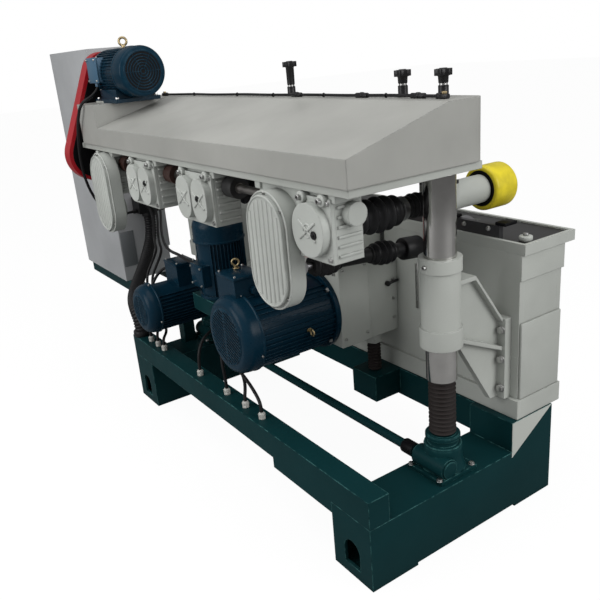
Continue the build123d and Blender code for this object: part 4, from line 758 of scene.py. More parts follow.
hose_line = (
    (-1060, 0), (-990, 0), (-890, 12), (-790, 22), (-690, 16), (-590, 8), (-490, 14), (-396, 26),
    (-300, 28), (-200, 18), (-100, 14), (2, 20), (108, 27), (216, 24), (326, 16), (434, 20), (540, 28),
    (642, 26), (726, 18), (788, 18))
hose_route = millimetres(*((x, y, HOSE_HEIGHT * MM_PER_METRE) for x, y in hose_line))
cord("air_hose", hose_route, HOSE_DIAMETER, "air_hoses", "beam")

CONDUIT_DIAMETER = 0.066
CONDUIT_ROOT = 0.056
CONDUIT_PITCH = 0.015
CONDUIT_STEPS = 6
conduit_route = millimetres(
    (-1500, -10, 792), (-1500, -10, 672), (-1446, -66, 588), (-1352, -146, 528), (-1236, -232, 490),
    (-1114, -308, 470), (-1000, -360, 466), (-912, -386, 444), (-872, -388, 392), (-872, -388, 326))


def corrugated(step):
    """The conduit's radius at a step along it: round ribs with narrow roots."""
    swell = math.sqrt(abs(math.sin(math.pi * step / CONDUIT_STEPS)))
    return (CONDUIT_ROOT + (CONDUIT_DIAMETER - CONDUIT_ROOT) * swell) / 2


conduit_line = line_points(conduit_route)
conduit_places = stations(conduit_line, CONDUIT_PITCH / CONDUIT_STEPS)
bm = bmesh.new()
tube(bm, conduit_places, [corrugated(step) for step in range(len(conduit_places))], sides=28)
conduit = piece("conduit", bm, conduit_skin, "base", ("main_conduit",))

# Nylon glands on the front beam
GLANDS_X = (-0.758, -0.676, -0.608, -0.241, -0.007, 0.139, 0.258)
GLAND_Y = -0.388
GLAND_HEIGHT = 0.026
GLAND_NUT = 0.010
GLAND_RIBS = 14
gland_low, gland_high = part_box("cable_glands")
bm = bmesh.new()
for x in GLANDS_X:
    foot = Vector((x, GLAND_Y, gland_high.z - GLAND_HEIGHT))
    stand = Matrix.Translation(foot)
    rod(bm, (x, GLAND_Y, gland_low.z), foot, 0.009, 0, sides=20)
    rod(bm, foot, foot + GLAND_NUT * Z, 0.0140, 0.0008, HEX_SIDES)
    turned(bm, stand, [
        (GLAND_NUT, 0), (GLAND_NUT, 0.0125), (0.021, 0.0120), (0.0245, 0.0105), (GLAND_HEIGHT, 0.0085),
        (GLAND_HEIGHT, 0)], sides=28)
    for rib in range(GLAND_RIBS):
        turn = spun(stand, 360 * rib / GLAND_RIBS)
        block(bm, (0.011, -0.0009, 0.0105), (0.0134, 0.0009, 0.0205), 0.0003, turn)
piece("nylon_glands", bm, white_nylon, "base", ("cable_glands",))


# Bellows round the lift screws and round the main head's screw
FOLD_STEPS = 8


def bellows(bm, x, y, low, high, crest, root, bore, folds):
    """A folded rubber sleeve round an upright bore."""
    profile = [(low, bore)]
    for step in range(folds * FOLD_STEPS + 1):
        share = step / (folds * FOLD_STEPS)
        profile.append((low + (high - low) * share, root + (crest - root) * wave(share * folds)))
    turned(bm, Matrix.Translation((x, y, 0)), profile + [(high, bore), (low, bore)])


folds_low, folds_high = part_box("column_bellows")
bm = bmesh.new()
for x in COLUMNS_X:
    bellows(bm, x, COLUMN_Y, folds_low.z, folds_high.z, crest=0.045, root=0.036, bore=0.030, folds=13)
lift_folds = piece("lift_folds", bm, bellows_rubber, stands_for=("column_bellows",))
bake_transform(lift_folds)
screw_low, screw_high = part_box("screw_bellows")
screw = (screw_low + screw_high) / 2
bm = bmesh.new()
bellows(bm, screw.x, screw.y, screw_low.z, screw_high.z, crest=0.028, root=0.021, bore=0.017, folds=9)
screw_folds = piece("screw_folds", bm, bellows_rubber, stands_for=("screw_bellows",))
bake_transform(screw_folds)


# Belts
BELT_STEPS = 24
MAIN_MOTOR = Vector((MAIN_X, 0, MAIN_Z))
MAIN_SPINDLE = Vector((MAIN_X, 0, SPINDLE_Z))


def belt_outline(radius, far, far_radius):
    """The line round two circles, the second one far along Y."""
    lean = math.asin((radius - far_radius) / far)
    near_arc = arc(0, radius, math.pi - lean, math.tau + lean, BELT_STEPS)
    return near_arc + arc(far, far_radius, lean, math.pi - lean, BELT_STEPS)


def belt_band(bm, place, radius, far, far_radius, width, thickness):
    """A flat belt round two pulleys, the second one far along the place's Y axis."""
    outline = belt_outline(radius, far, far_radius)
    loop = [bm.verts.new(place @ Vector((across, up, -width / 2))) for across, up in outline]
    edges = [bm.edges.new(pair) for pair in zip(loop, loop[1:] + loop[:1])]
    band = bmesh.ops.extrude_edge_only(bm, edges=edges)
    verts = [item for item in band["geom"] if isinstance(item, bmesh.types.BMVert)]
    bmesh.ops.translate(bm, vec=place.to_3x3() @ Vector((0, 0, width)), verts=verts)
    bmesh.ops.recalc_face_normals(bm, faces=bm.faces)
    bmesh.ops.solidify(bm, geom=list(bm.faces), thickness=thickness)


def pulley_frame(origin, far, axis):
    """A frame at a pulley: Y towards the other pulley and Z along the shaft."""
    up = (far - origin).normalized()
    across = up.cross(axis)
    turn = Matrix((across, up, axis)).transposed().to_4x4()
    return Matrix.Translation(origin) @ turn


for name, node, body, first, second, axis, thickness in (
        ("feed_band", "feed_belt", "beam", LINE_SHAFT, FEED_AXIS, X, 0.008),
        ("main_band", "main_belt", "main_head", MAIN_MOTOR, MAIN_SPINDLE, Y, 0.004)):
    low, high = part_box(node)
    middle = (low + high) / 2
    shift = axis * middle.dot(axis)
    low_radius = first.z - low.z
    high_radius = high.z - second.z
    bm = bmesh.new()
    belt_band(bm, pulley_frame(first + shift, second + shift, axis), low_radius, (second - first).length,
              high_radius, (high - low).dot(axis), thickness)
    piece(name, bm, belt_rubber, body, (node,))

# Black back plate inside the rim of the belt guard
GUARD_BACK = -1.250
GUARD_RIM = 0.018
GUARD_PLATE = 0.0015
GUARD_LOW_RADIUS = 0.130
GUARD_HIGH_RADIUS = 0.102
guard_low = Vector((GUARD_BACK, -0.339, 1.180))
guard_high = Vector((GUARD_BACK, FEED_AXIS.y, FEED_AXIS.z))
guard_plate = belt_outline(
    GUARD_LOW_RADIUS - GUARD_RIM, (guard_high - guard_low).length, GUARD_HIGH_RADIUS - GUARD_RIM)
bm = bmesh.new()
prism(bm, guard_plate, GUARD_PLATE, pulley_frame(guard_low, guard_high, X))
piece("guard_plate", bm, black_paint, "beam")


# Motors: rounded fan cowls with grilles, cooling fins, terminal box lids, bolts and lifting eyes
COWL_SIDES = 64
COWL_SKIN = 0.001
COWL_LIP = 0.003
COWL_DOME = 0.045
COWL_STEP = 0.030
DOME_STEPS = 10
FLANGE = 0.018
FIRST_FIN = -208
FIN_GAP = 8
FIN_ROOT = 0.012
FIN_TIP = 0.001
FIN_HALF = 0.0016
FIN_SOFT = 0.0008
GRILLE_SIDES = 48
GRILLE_BACK = 0.0015
GRILLE_FRONT = 0.0045
GRILLE_PITCH = 0.0120
GRILLE_BAR = 0.0046
GRILLE_TILT = -24
GRILLE_POST = 0.010
GRILLE_SOFT = 0.0008
GRILLE_RINGS = 6
GRILLE_SPOKES = 6
RING_SHARE = 0.14
SPOKE_START = 0.18
LID_SOFT = 0.003
LID_INSET = 0.011
SMALL_SCREW = 0.006


def fan_cowl(bm, place, length, radius):
    """A fan cowl that stands on its open end at a place and draws in to a flat round face."""
    skin = radius + COWL_SKIN
    face = radius - COWL_STEP
    profile = [(0, 0), (0, skin + COWL_LIP), (0.006, skin + COWL_LIP), (0.008, skin)]
    for step in range(DOME_STEPS + 1):
        inwards, along = polar(1, math.pi / 2 * step / DOME_STEPS)
        height = length - COWL_DOME + (COWL_DOME + COWL_SKIN) * along
        profile.append((height, face + (skin - face) * inwards))
    turned(bm, place, profile + [(length + COWL_SKIN, 0)], COWL_SIDES)


def grille_shade_disc(shade_disc, place, radius):
    """The dark disc behind a grille's openings, painted shade for the cowl's shaded inside."""
    rod(shade_disc, place.translation, place @ Vector((0, 0, GRILLE_BACK)), radius, 0, GRILLE_SIDES)


def slotted_grille(bars, shade_disc, place, radius):
    """A round grille: a dark disc of painted shade behind slanted bars, with a post up its middle and a
    rim.
    """
    grille_shade_disc(shade_disc, place, radius)
    slanted = spun(place, GRILLE_TILT)
    rows = int(radius / GRILLE_PITCH)
    for row in range(-rows, rows + 1):
        middle = row * GRILLE_PITCH
        half = math.sqrt(radius ** 2 - middle ** 2)
        low = (-half, middle - GRILLE_BAR / 2, 0)
        block(bars, low, (half, middle + GRILLE_BAR / 2, GRILLE_FRONT), GRILLE_SOFT, slanted)
    post = GRILLE_POST / 2
    block(bars, (-post, -radius, 0), (post, radius, GRILLE_FRONT), GRILLE_SOFT, place)
    ring(bars, place, radius, 0.003, GRILLE_SIDES)


def ring_grille(bars, shade_disc, place, radius):
    """A round grille of rings on spokes over a dark disc of painted shade."""
    grille_shade_disc(shade_disc, place, radius)
    front = place @ Matrix.Translation((0, 0, GRILLE_BACK))
    for number in range(1, GRILLE_RINGS + 1):
        ring(bars, front, radius * RING_SHARE * number, 0.0024, GRILLE_SIDES)
    for spoke in range(GRILLE_SPOKES):
        turn = spun(front, 360 * spoke / GRILLE_SPOKES)
        block(bars, (SPOKE_START * radius, -0.0012, 0), (radius, 0.0012, 0.002), 0, turn)
    ring(bars, place, radius, 0.004, GRILLE_SIDES)


def fins(bm, place, radius, start, end, first, last):
    """Cooling fins along a motor's frame, from a first angle to a last about the place's Z axis."""
    for angle in range(first, last, FIN_GAP):
        low = (radius - FIN_ROOT, -FIN_HALF, start)
        block(bm, low, (radius - FIN_TIP, FIN_HALF, end), FIN_SOFT, spun(place, angle))


def lid(paint, steel, place, half_width, half_height, thickness):
    """A terminal box lid on a face, with a screw at each corner."""
    block(paint, (-half_width, -half_height, 0), (half_width, half_height, thickness), LID_SOFT, place)
    for side, end in product((-1, 1), (-1, 1)):
        corner = Vector((side * (half_width - LID_INSET), end * (half_height - LID_INSET), thickness))
        socket_screw(steel, place @ corner, place.to_3x3() @ Z, SMALL_SCREW)


def flange_bolts(bm, place, radius, size):
    """Four bolts round a flange, on its face towards the place's Z axis."""
    for angle in (45, 135, 225, 315):
        seat = Vector((*polar(radius, math.radians(angle)), 0))
        hex_bolt(bm, place @ seat, place.to_3x3() @ Z, size)


def spindle_motor(name, x, z, radius, cowl, last_fin):
    """Trim of a flange motor that lies along Y, with its cowl at the -Y end."""
    low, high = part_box(name)
    flange = facing((x, high.y - FLANGE, z), -Y)
    cowl_place = facing((x, low.y + cowl, z), -Y)
    face = facing((x, low.y - COWL_SKIN, z), -Y)
    paint, dark, steel, eyes = fresh(4)
    fan_cowl(paint, cowl_place, cowl, radius)
    slotted_grille(paint, dark, face, radius - COWL_STEP - 0.012)
    fins(paint, flange, radius, 0, high.y - low.y - cowl - FLANGE, FIRST_FIN, last_fin)
    flange_bolts(steel, flange, radius - 0.004, size=0.010)
    for angle in (-20, 200, 80):
        turn = spun(cowl_place, angle)
        seat = turn @ Vector((radius + COWL_SKIN, 0, 0.012))
        socket_screw(steel, seat, turn.to_3x3() @ X, SMALL_SCREW)
    return paint, dark, steel, eyes


def motor_pieces(name, body, paint, dark, steel, eyes):
    piece(f"{name}_trim", paint, blue_paint, body)
    # The black disc behind each grille is painted shade
    piece(f"{name}_grille_shade_disc", dark, black_paint, body)
    piece(f"{name}_screws", steel, zinc, body)
    piece(f"{name}_eyes", eyes, yellow_zinc, body)


MAIN_TERMINAL = Matrix.Translation((0.128, -0.3465, 0.845))
MAIN_GLAND = Vector((0.193, -0.330, 0.800))
paint, dark, steel, eyes = spindle_motor(
    "main_motor", MAIN_X, MAIN_Z, radius=0.146, cowl=0.074, last_fin=57)
lid(paint, steel, MAIN_TERMINAL, half_width=0.068, half_height=0.060, thickness=0.012)
gland_nut(paint, MAIN_GLAND, 0.019 * X, radius=0.017, soft=0.002)
eye_bolt(eyes, (0.086, -0.332, 0.857), Z, X - 0.6 * Y, size=0.015)
eye_bolt(eyes, (0.300, -0.176, 0.628), (1, 0, -0.25), Y, size=0.013)
motor_pieces("main_motor", "main_head", paint, dark, steel, eyes)

INFEED_TERMINAL = Matrix.Translation((INFEED_X, -0.235, 0.713))
INFEED_RIBS_Z = (0.640, 0.654, 0.668, 0.682, 0.696)
paint, dark, steel, eyes = spindle_motor(
    "infeed_motor", INFEED_X, INFEED_Z, radius=0.113, cowl=0.060, last_fin=42)
lid(paint, steel, INFEED_TERMINAL, half_width=0.068, half_height=0.053, thickness=0.010)
for z in INFEED_RIBS_Z:
    block(paint, (-0.712, -0.280, z), (-0.704, -0.190, z + 0.006), 0.001)
gland_nut(paint, infeed_cable_route[-1], -0.018 * X)
eye_bolt(eyes, (INFEED_X, -0.145, 0.638), Z, X - 0.4 * Y, size=0.015)
motor_pieces("infeed_motor", "infeed_head", paint, dark, steel, eyes)

SIDE_MOTOR = Vector((-0.285, -0.200, 0))
SIDE_TERMINAL = facing((-0.285, -0.315, 0.745), -Y)
SIDE_RADIUS = 0.105
SIDE_COWL = 0.100
side_low, side_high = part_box("side_motor")
side_foot = Matrix.Translation(SIDE_MOTOR + side_low.z * Z)
side_cowl = Matrix.Translation(SIDE_MOTOR + (side_high.z - SIDE_COWL) * Z)
side_top = Matrix.Translation(SIDE_MOTOR + (side_high.z + COWL_SKIN) * Z)
paint, dark, steel, eyes = fresh(4)
fan_cowl(paint, side_cowl, SIDE_COWL, SIDE_RADIUS)
slotted_grille(paint, dark, side_top, SIDE_RADIUS - COWL_STEP - 0.010)
fins(paint, side_foot, SIDE_RADIUS, 0.014, side_high.z - SIDE_COWL - side_low.z, first=-50, last=231)
lid(paint, steel, SIDE_TERMINAL, half_width=0.053, half_height=0.048, thickness=0.008)
gland_nut(paint, side_cable_route[-1], -0.021 * X)
eye_bolt(eyes, (-0.340, -0.262, 0.930), (-0.6, -0.8, 0.2), Z, size=0.011)
motor_pieces("side_motor", "side_head", paint, dark, steel, eyes)

FEED_RADIUS = 0.108
FEED_COWL = 0.100
FEED_FLANGE = 0.014
FEED_TERMINAL = facing((-1.116, -0.322, 1.575), -Y)
FEED_BOLTS_X = (-1.150, -0.915)
FEED_BOLTS_Y = (-0.303, -0.115)
FEED_PLATE = 1.445


def on_feed_axis(x):
    """A frame on the feed motor's axis, its Z axis towards the fan."""
    return facing((x, FEED_AXIS.y, FEED_AXIS.z), X)


feed_low, feed_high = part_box("feed_motor")
feed_frame = feed_high.x - feed_low.x - FEED_COWL
feed_face = FEED_COWL + COWL_SKIN
feed_skin = FEED_RADIUS + COWL_SKIN
paint, dark, steel, eyes = fresh(4)
turned(paint, on_feed_axis(feed_high.x - FEED_COWL), [
    (0, 0), (0, FEED_RADIUS + COWL_LIP), (0.007, FEED_RADIUS + COWL_LIP), (0.009, feed_skin),
    (FEED_COWL - 0.012, feed_skin), (FEED_COWL - 0.004, FEED_RADIUS - 0.002),
    (feed_face, FEED_RADIUS - 0.009), (feed_face, 0)], COWL_SIDES)
ring_grille(paint, dark, on_feed_axis(feed_high.x + COWL_SKIN), 0.086)
fins(paint, on_feed_axis(feed_low.x), FEED_RADIUS, FEED_FLANGE, feed_frame, first=-55, last=236)
flange_bolts(steel, on_feed_axis(feed_low.x + FEED_FLANGE), radius=0.102, size=0.007)
eye_bolt(eyes, (-0.985, FEED_AXIS.y, 1.658), Z, X - 0.4 * Y, size=0.020)
for x, y in product(FEED_BOLTS_X, FEED_BOLTS_Y):
    hex_bolt(steel, (x, y, FEED_PLATE), Z, size=0.010)
motor_pieces("feed_motor", "beam", paint, dark, steel, eyes)
paint, steel = fresh(2)
block(paint, (-1.177, -0.322, 1.520), (-1.055, -0.268, 1.630), 0.004)
lid(paint, steel, FEED_TERMINAL, half_width=0.063, half_height=0.057, thickness=0.008)
gland_nut(paint, feed_cable_route[-1], -0.019 * Z)
piece("feed_terminal", paint, terminal_paint, "beam")
piece("feed_terminal_screws", steel, zinc, "beam")


# Feed gearboxes: ears, bolt bosses, cover ribs, screws and oil plugs; drop cases with flutes and beads
GEARBOX_FRONT = -0.375
GEARBOX_TOP = 1.222
EARS_X = (-1.070, -0.905, -0.661, -0.411, -0.167, 0.083, 0.388, 0.772)
EAR_HALF = 0.016
BOSSES_X = (-1.042, -0.631, -0.441, -0.137, 0.053, 0.645, 0.742)
BOSS_Z = 1.203
BOSS_FRONT = GEARBOX_FRONT - 0.026
COVER_FRONT = -0.415
COVER_RIM = -0.389
COVER_BOLTS_X = (-0.650, -0.422, -0.156, 0.072, 0.761)
COVER_BOLTS_Z = (1.036, 1.196)
LOBES_X = (-0.5985, -0.4735, -0.1045, 0.0205, 0.691)
LOBE_Z = 1.115
PLUGS = ((-0.460, 1.128), (0.014, 1.122), (0.723, 1.107))
DROPS = ((0.498, 0.945, 1.099), (-0.955, 0.956, 1.108))
DROP_FRONT = -0.440
DROP_RIM = -0.428
DROP_SCREWS = 0.104
RIM_BEAD = 0.108
FACE_BEAD = 0.096
BEAD_RADIUS = 0.0035
BEAD_STEP = 0.012
SLOT_STEPS = 20
FLUTE_GAP = 0.025
FLUTE_REACH = 0.086
FLUTE_RADIUS = 0.0052
FLUTE_Y = DROP_FRONT + 0.0015


def slot_bead(bm, x, y, low, high, radius):
    """A round bead along an upright slot shape."""
    outline = arc(high, radius, 0, math.pi, SLOT_STEPS) + arc(low, radius, math.pi, math.tau, SLOT_STEPS)
    points = [Vector((x + across, y, up)) for across, up in outline]
    places = stations(points + points[:1], BEAD_STEP)
    tube(bm, places, [BEAD_RADIUS] * len(places), sides=8, closed=True)


cast, steel, dark = fresh(3)
for x in EARS_X:
    block(cast, (x - EAR_HALF, -0.384, 1.196), (x + EAR_HALF, -0.300, GEARBOX_TOP), 0.004)
for x in BOSSES_X:
    rod(cast, (x, GEARBOX_FRONT, BOSS_Z), (x, BOSS_FRONT, BOSS_Z), 0.018, 0.004)
    socket_screw(steel, (x, BOSS_FRONT, BOSS_Z), -Y, size=0.011)
for x in LOBES_X:
    centre = facing((x, COVER_FRONT, LOBE_Z), -Y)
    for tilt in (35, 145):
        block(cast, (-0.048, -0.004, -0.004), (0.048, 0.004, 0.004), 0.002, spun(centre, tilt))
    ring(cast, centre, 0.019, 0.003)
for x, z in product(COVER_BOLTS_X, COVER_BOLTS_Z):
    hex_bolt(steel, (x, COVER_RIM, z), -Y, size=0.008)
for x, z in PLUGS:
    rod(dark, (x, COVER_FRONT, z), (x, COVER_FRONT - 0.005, z), 0.012, 0.0015)
    rod(dark, (x, COVER_FRONT, z), (x, COVER_FRONT - 0.009, z), 0.006, 0.001, HEX_SIDES)
for x, low, high in DROPS:
    slot_bead(cast, x, DROP_FRONT, low, high, FACE_BEAD)
    slot_bead(cast, x, DROP_RIM, low, high, RIM_BEAD)
    for flute in range(-3, 4):
        across = FLUTE_GAP * flute
        reach = math.sqrt(FLUTE_REACH ** 2 - across ** 2)
        start = (x + across, FLUTE_Y, low - reach)
        rod(cast, start, (x + across, FLUTE_Y, high + reach), FLUTE_RADIUS, 0.002, sides=14)
    for angle, middle in ((35, high), (145, high), (215, low), (325, low), (270, low), (90, high)):
        across, up = polar(DROP_SCREWS, math.radians(angle))
        socket_screw(steel, (x + across, DROP_RIM, middle + up), -Y, SMALL_SCREW)
piece("gearbox_castings", cast, cast_cream, "beam")
piece("gearbox_screws", steel, zinc, "beam")
piece("oil_plugs", dark, black_plastic, "beam")


# Feed rollers with their jointed shafts in ribbed boots, and the lower cardan shaft
BOOT_SIDES = 36
BOOT_BARREL = 0.20
BOOT_FOLD = 0.60
UNITS_X = (-0.536, -0.042, 0.690)
UNIT_Z = 1.110
ROLLER_FRONT = 0.2905
ROLLER_WIDTH = 0.105
ROLLER_RADIUS = 0.075
ROLLER_TEETH = 44
TOOTH_DEPTH = 0.004
HUB_RADIUS = 0.0598
roller_shaft = [
    (-0.2547, 0), (-0.2547, 0.030), (-0.196, 0.030), (-0.196, 0.024), (-0.079, 0.024), (-0.077, 0.036),
    (-0.075, 0.038), (-0.056, 0.038), (-0.054, 0.036), (-0.052, 0.024), (0.040, 0.024), (0.040, 0.017),
    (0.3875, 0.017), (0.3875, 0)]
roller_hub = [
    (0, 0.017), (0, 0.028), (-0.006, 0.028), (-0.006, 0.040), (0.004, 0.044), (0.004, 0.050), (0, 0.052),
    (0, HUB_RADIUS), (ROLLER_WIDTH, HUB_RADIUS), (ROLLER_WIDTH, 0.017)]
tyre_edge = [(0.001, HUB_RADIUS), (0, 0.066), (0.002, 0.071), (0.007, 0.0745), (0.012, ROLLER_RADIUS)]
far_tyre_edge = [(ROLLER_WIDTH - along, radius) for along, radius in reversed(tyre_edge)]


def boot(bm, place, start, end, neck, crest, folds):
    """A ribbed rubber boot along the Z axis of a place."""
    profile = [(start, 0), (start, neck)]
    for step in range(folds * FOLD_STEPS + 1):
        share = step / (folds * FOLD_STEPS)
        bulge = crest * (1 - BOOT_BARREL + BOOT_BARREL * math.sin(math.pi * share))
        fold = 1 - BOOT_FOLD + BOOT_FOLD * wave(share * folds)
        profile.append((start + (end - start) * share, neck + (bulge - neck) * fold))
    turned(bm, place, profile + [(end, neck), (end, 0)], BOOT_SIDES)


def toothed(radius, depth, teeth):
    """The outline of a roller with flat-topped teeth."""
    root = radius - depth
    corners = ((0.0, radius), (0.4, radius), (0.55, root), (0.85, root))
    return [polar(reach, math.tau * (tooth + share) / teeth)
            for tooth in range(teeth) for share, reach in corners]


for number, x in enumerate(UNITS_X, 1):
    place = facing((x, 0, UNIT_Z), Y)
    front = place @ Matrix.Translation((0, 0, ROLLER_FRONT))
    body = f"roller_{number}"
    node = f"feed_roller_{number}"
    steel, boots = fresh(2)
    turned(steel, place, roller_shaft)
    boot(boots, place, -0.250, -0.075, neck=0.032, crest=0.056, folds=5)
    boot(boots, place, -0.053, 0.040, neck=0.026, crest=0.040, folds=4)
    if number == len(UNITS_X):
        hub, tyre = fresh(2)
        turned(hub, front, roller_hub, sides=48)
        piece("roller_hub", hub, black_paint, body)
        turned(tyre, front, tyre_edge + far_tyre_edge + tyre_edge[:1], sides=72)
        piece("yellow_tyre", tyre, tyre_yellow, body, ("roller_tyre",))
    else:
        prism(steel, toothed(ROLLER_RADIUS, TOOTH_DEPTH, ROLLER_TEETH), ROLLER_WIDTH, front)
    piece(f"roller_steel_{number}", steel, shaft_steel, body, (node,))
    piece(f"roller_boots_{number}", boots, boot_rubber, body, (node,))

CARDAN_TILT = math.radians(5)
CARDAN_TUBE = 0.024
cardan = facing((0.498, -0.330, 0.945), (0, math.cos(CARDAN_TILT), -math.sin(CARDAN_TILT)))
steel, boots = fresh(2)
turned(steel, cardan, [
    (0.085, 0), (0.085, CARDAN_TUBE), (0.440, CARDAN_TUBE), (0.440, 0.037), (0.444, 0.040),
    (0.516, 0.040), (0.520, 0.037), (0.520, 0.030), (0.450, 0.030), (0.450, 0)])
for start, end in ((0.050, 0.150), (0.300, 0.400)):
    boot(boots, cardan, start, end, neck=0.026, crest=0.043, folds=4)
for along in (0.156, 0.294):
    ring(steel, cardan @ Matrix.Translation((0, 0, along)), CARDAN_TUBE, 0.006)
piece("cardan_tube", steel, boot_rubber, "lower_cardan", ("lower_cardan",))
piece("cardan_boots", boots, boot_rubber, "lower_cardan", ("lower_cardan",))

# Knives of the two horizontal cutter blocks
KNIVES = 4
KNIFE_TURN = math.degrees(0.4)
CUTTER_START = 0.304
for body, x in (("main_cutter", MAIN_X), ("infeed_cutter", INFEED_X)):
    knives = bmesh.new()
    cutter_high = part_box(body)[1]
    axis_place = facing((x, CUTTER_START, SPINDLE_Z), Y)
    for knife in range(KNIVES):
        turn = spun(axis_place, 360 * knife / KNIVES + KNIFE_TURN)
        tip = (0.0635, 0.002, cutter_high.y - CUTTER_START - 0.006)
        block(knives, (0.040, -0.002, 0.002), tip, 0.0005, turn)
    piece(f"{body}_knives", knives, zinc, body)


# Knobs, hose fittings and ties on the cover
KNOB_HEAD = 0.021
KNOB_STEPS = 60
COLLAR_HEIGHT = 0.034
RING_TOP = COLLAR_HEIGHT + 0.006
RING_RADIUS = 0.0125
LOBES = 6
LOBE_RADIUS = 0.027
LOBE_DEPTH = 0.005


def lobed(radius, depth, lobes):
    """The outline of a hand knob with round lobes."""
    turns = [step / KNOB_STEPS for step in range(KNOB_STEPS)]
    return [polar(radius - depth * wave(lobes * turn), math.tau * turn) for turn in turns]


for number in (1, 2, 3):
    node = f"knob_{number}"
    low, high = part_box(node)
    x, y, _ = (low + high) / 2
    steel, plastic = fresh(2)
    stand = Matrix.Translation((x, y, COVER_TOP))
    head = Matrix.Translation((x, y, high.z - KNOB_HEAD))
    head_low = high.z - KNOB_HEAD - COVER_TOP
    rod(steel, (x, y, low.z), (x, y, COVER_TOP), 0.007)
    turned(steel, stand, [
        (COLLAR_HEIGHT, 0), (COLLAR_HEIGHT, RING_RADIUS), (RING_TOP, RING_RADIUS), (RING_TOP, 0)])
    turned(plastic, stand, [
        (0.0005, 0), (0.0005, 0.017), (0.006, 0.017), (0.008, 0.0155), (COLLAR_HEIGHT - 0.001, 0.0155),
        (COLLAR_HEIGHT, 0.0145), (COLLAR_HEIGHT, 0)])
    turned(plastic, stand, [
        (RING_TOP, 0), (RING_TOP, 0.0135), (RING_TOP + 0.001, 0.0145), (head_low - 0.003, 0.0155),
        (head_low + 0.004, 0.020), (head_low + 0.004, 0)])
    prism(plastic, lobed(LOBE_RADIUS, LOBE_DEPTH, LOBES), KNOB_HEAD - 0.002, head, 0.003)
    turned(plastic, head, [(0, 0), (0, 0.014), (0.018, 0.014), (KNOB_HEAD, 0.011), (KNOB_HEAD, 0)])
    piece(f"{node}_stem", steel, zinc, node, (node,))
    piece(f"{node}_grip", plastic, black_plastic, node, (node,))

FITTINGS = ((-1.060, 0.000, -1), (0.788, 0.018, 1))
FITTING_TOP = COVER_TOP + 0.014
JOINERS = ((0.050, 0.0230), (0.430, 0.0205), (0.690, 0.0220))
TIES = ((-0.790, 0.0200), (-0.396, 0.0245), (-0.100, 0.0150), (0.216, 0.0235), (0.540, 0.0270))
plastic, steel = fresh(2)
for x, y, way in FITTINGS:
    near, far = sorted((x, x + 0.024 * way))
    block(plastic, (near, y - 0.012, COVER_TOP), (far, y + 0.012, FITTING_TOP), 0.003)
    rod(plastic, (x, y, HOSE_HEIGHT), (x - 0.016 * way, y, HOSE_HEIGHT), 0.0088, 0.001, sides=24)
    nut_x = x + 0.012 * way
    rod(steel, (nut_x, y, FITTING_TOP), (nut_x, y, FITTING_TOP + 0.007), 0.008, 0.001, HEX_SIDES)
for x, y in JOINERS:
    for half, radius in ((0.028, 0.0085), (0.006, 0.0105)):
        rod(plastic, (x - half, y, HOSE_HEIGHT), (x + half, y, HOSE_HEIGHT), radius, 0.001, sides=24)
for x, y in TIES:
    ring(plastic, facing((x, y, HOSE_HEIGHT), X), 0.0062, 0.0014, sides=20)
    head_low = (x - 0.004, y - 0.010, HOSE_HEIGHT - 0.003)
    block(plastic, head_low, (x + 0.003, y - 0.005, HOSE_HEIGHT + 0.004), 0.001)
piece("hose_fittings", plastic, black_plastic, "beam", ("air_hoses",))
piece("fitting_nuts", steel, yellow_zinc, "beam", ("air_hoses",))

# Lift: flared jack bodies, base bolts, black couplings with set screws, sleeve bolts and collar screws
JACK_SEAT = 0.243
JACK_BORE = 0.030
JACK_BOLTS_X = 0.066
JACK_BOLTS_Y = (-0.104, 0.046)
JACK_SIDE = 0.070
SHAFT_Y, SHAFT_Z = -0.062, 0.268
COUPLING_ENDS = (0.672, 0.724)
jack_body = [
    (JACK_SEAT, JACK_BORE), (JACK_SEAT, 0.075), (0.252, 0.070), (0.270, 0.0655), (0.300, 0.0635),
    (0.324, 0.0640), (0.331, 0.0600), (0.333, 0.0500), (0.350, 0.0490), (0.353, 0.0580), (0.364, 0.0580),
    (0.3675, 0.0550), (0.3675, JACK_BORE), (JACK_SEAT, JACK_BORE)]
cast, steel, couplings = fresh(3)
for x in COLUMNS_X:
    turned(cast, Matrix.Translation((x, COLUMN_Y, 0)), jack_body, sides=56)
    for way in (-1, 1):
        end = x + way * JACK_SIDE
        rod(cast, (end, SHAFT_Y, SHAFT_Z), (end + way * 0.006, SHAFT_Y, SHAFT_Z), 0.030, 0.002)
        for y in JACK_BOLTS_Y:
            hex_bolt(steel, (x + way * JACK_BOLTS_X, y, JACK_SEAT), Z, size=0.010)
    near, far = (math.copysign(end, x) for end in COUPLING_ENDS)
    rod(couplings, (near, SHAFT_Y, SHAFT_Z), (far, SHAFT_Y, SHAFT_Z), 0.0255, 0.003)
    for share in (0.25, 0.75):
        place = (near + (far - near) * share, SHAFT_Y - 0.0250, SHAFT_Z + 0.004)
        socket_screw(couplings, place, (0, -1, 0.15), size=0.005)
piece("jack_bodies", cast, green_paint, "base")
piece("jack_bolts", steel, zinc, "base")
piece("lift_couplings", couplings, black_paint, "lift_shaft")
FLANGE_FACE = 0.228
SLEEVE_BOLTS_X = (-0.055, 0.031)
SLEEVE_BOLTS_Z = (0.451, 0.558, 0.665)
steel = bmesh.new()
for x in COLUMNS_X:
    for across, z in product(SLEEVE_BOLTS_X, SLEEVE_BOLTS_Z):
        hex_bolt(steel, (x + math.copysign(1, x) * across, FLANGE_FACE, z), -Y, size=0.014)
    socket_screw(steel, (x + 0.002, COLUMN_Y - 0.066, 0.951), -Y, size=0.009)
piece("sleeve_hex_bolts", steel, zinc, "base", ("sleeve_bolts",))

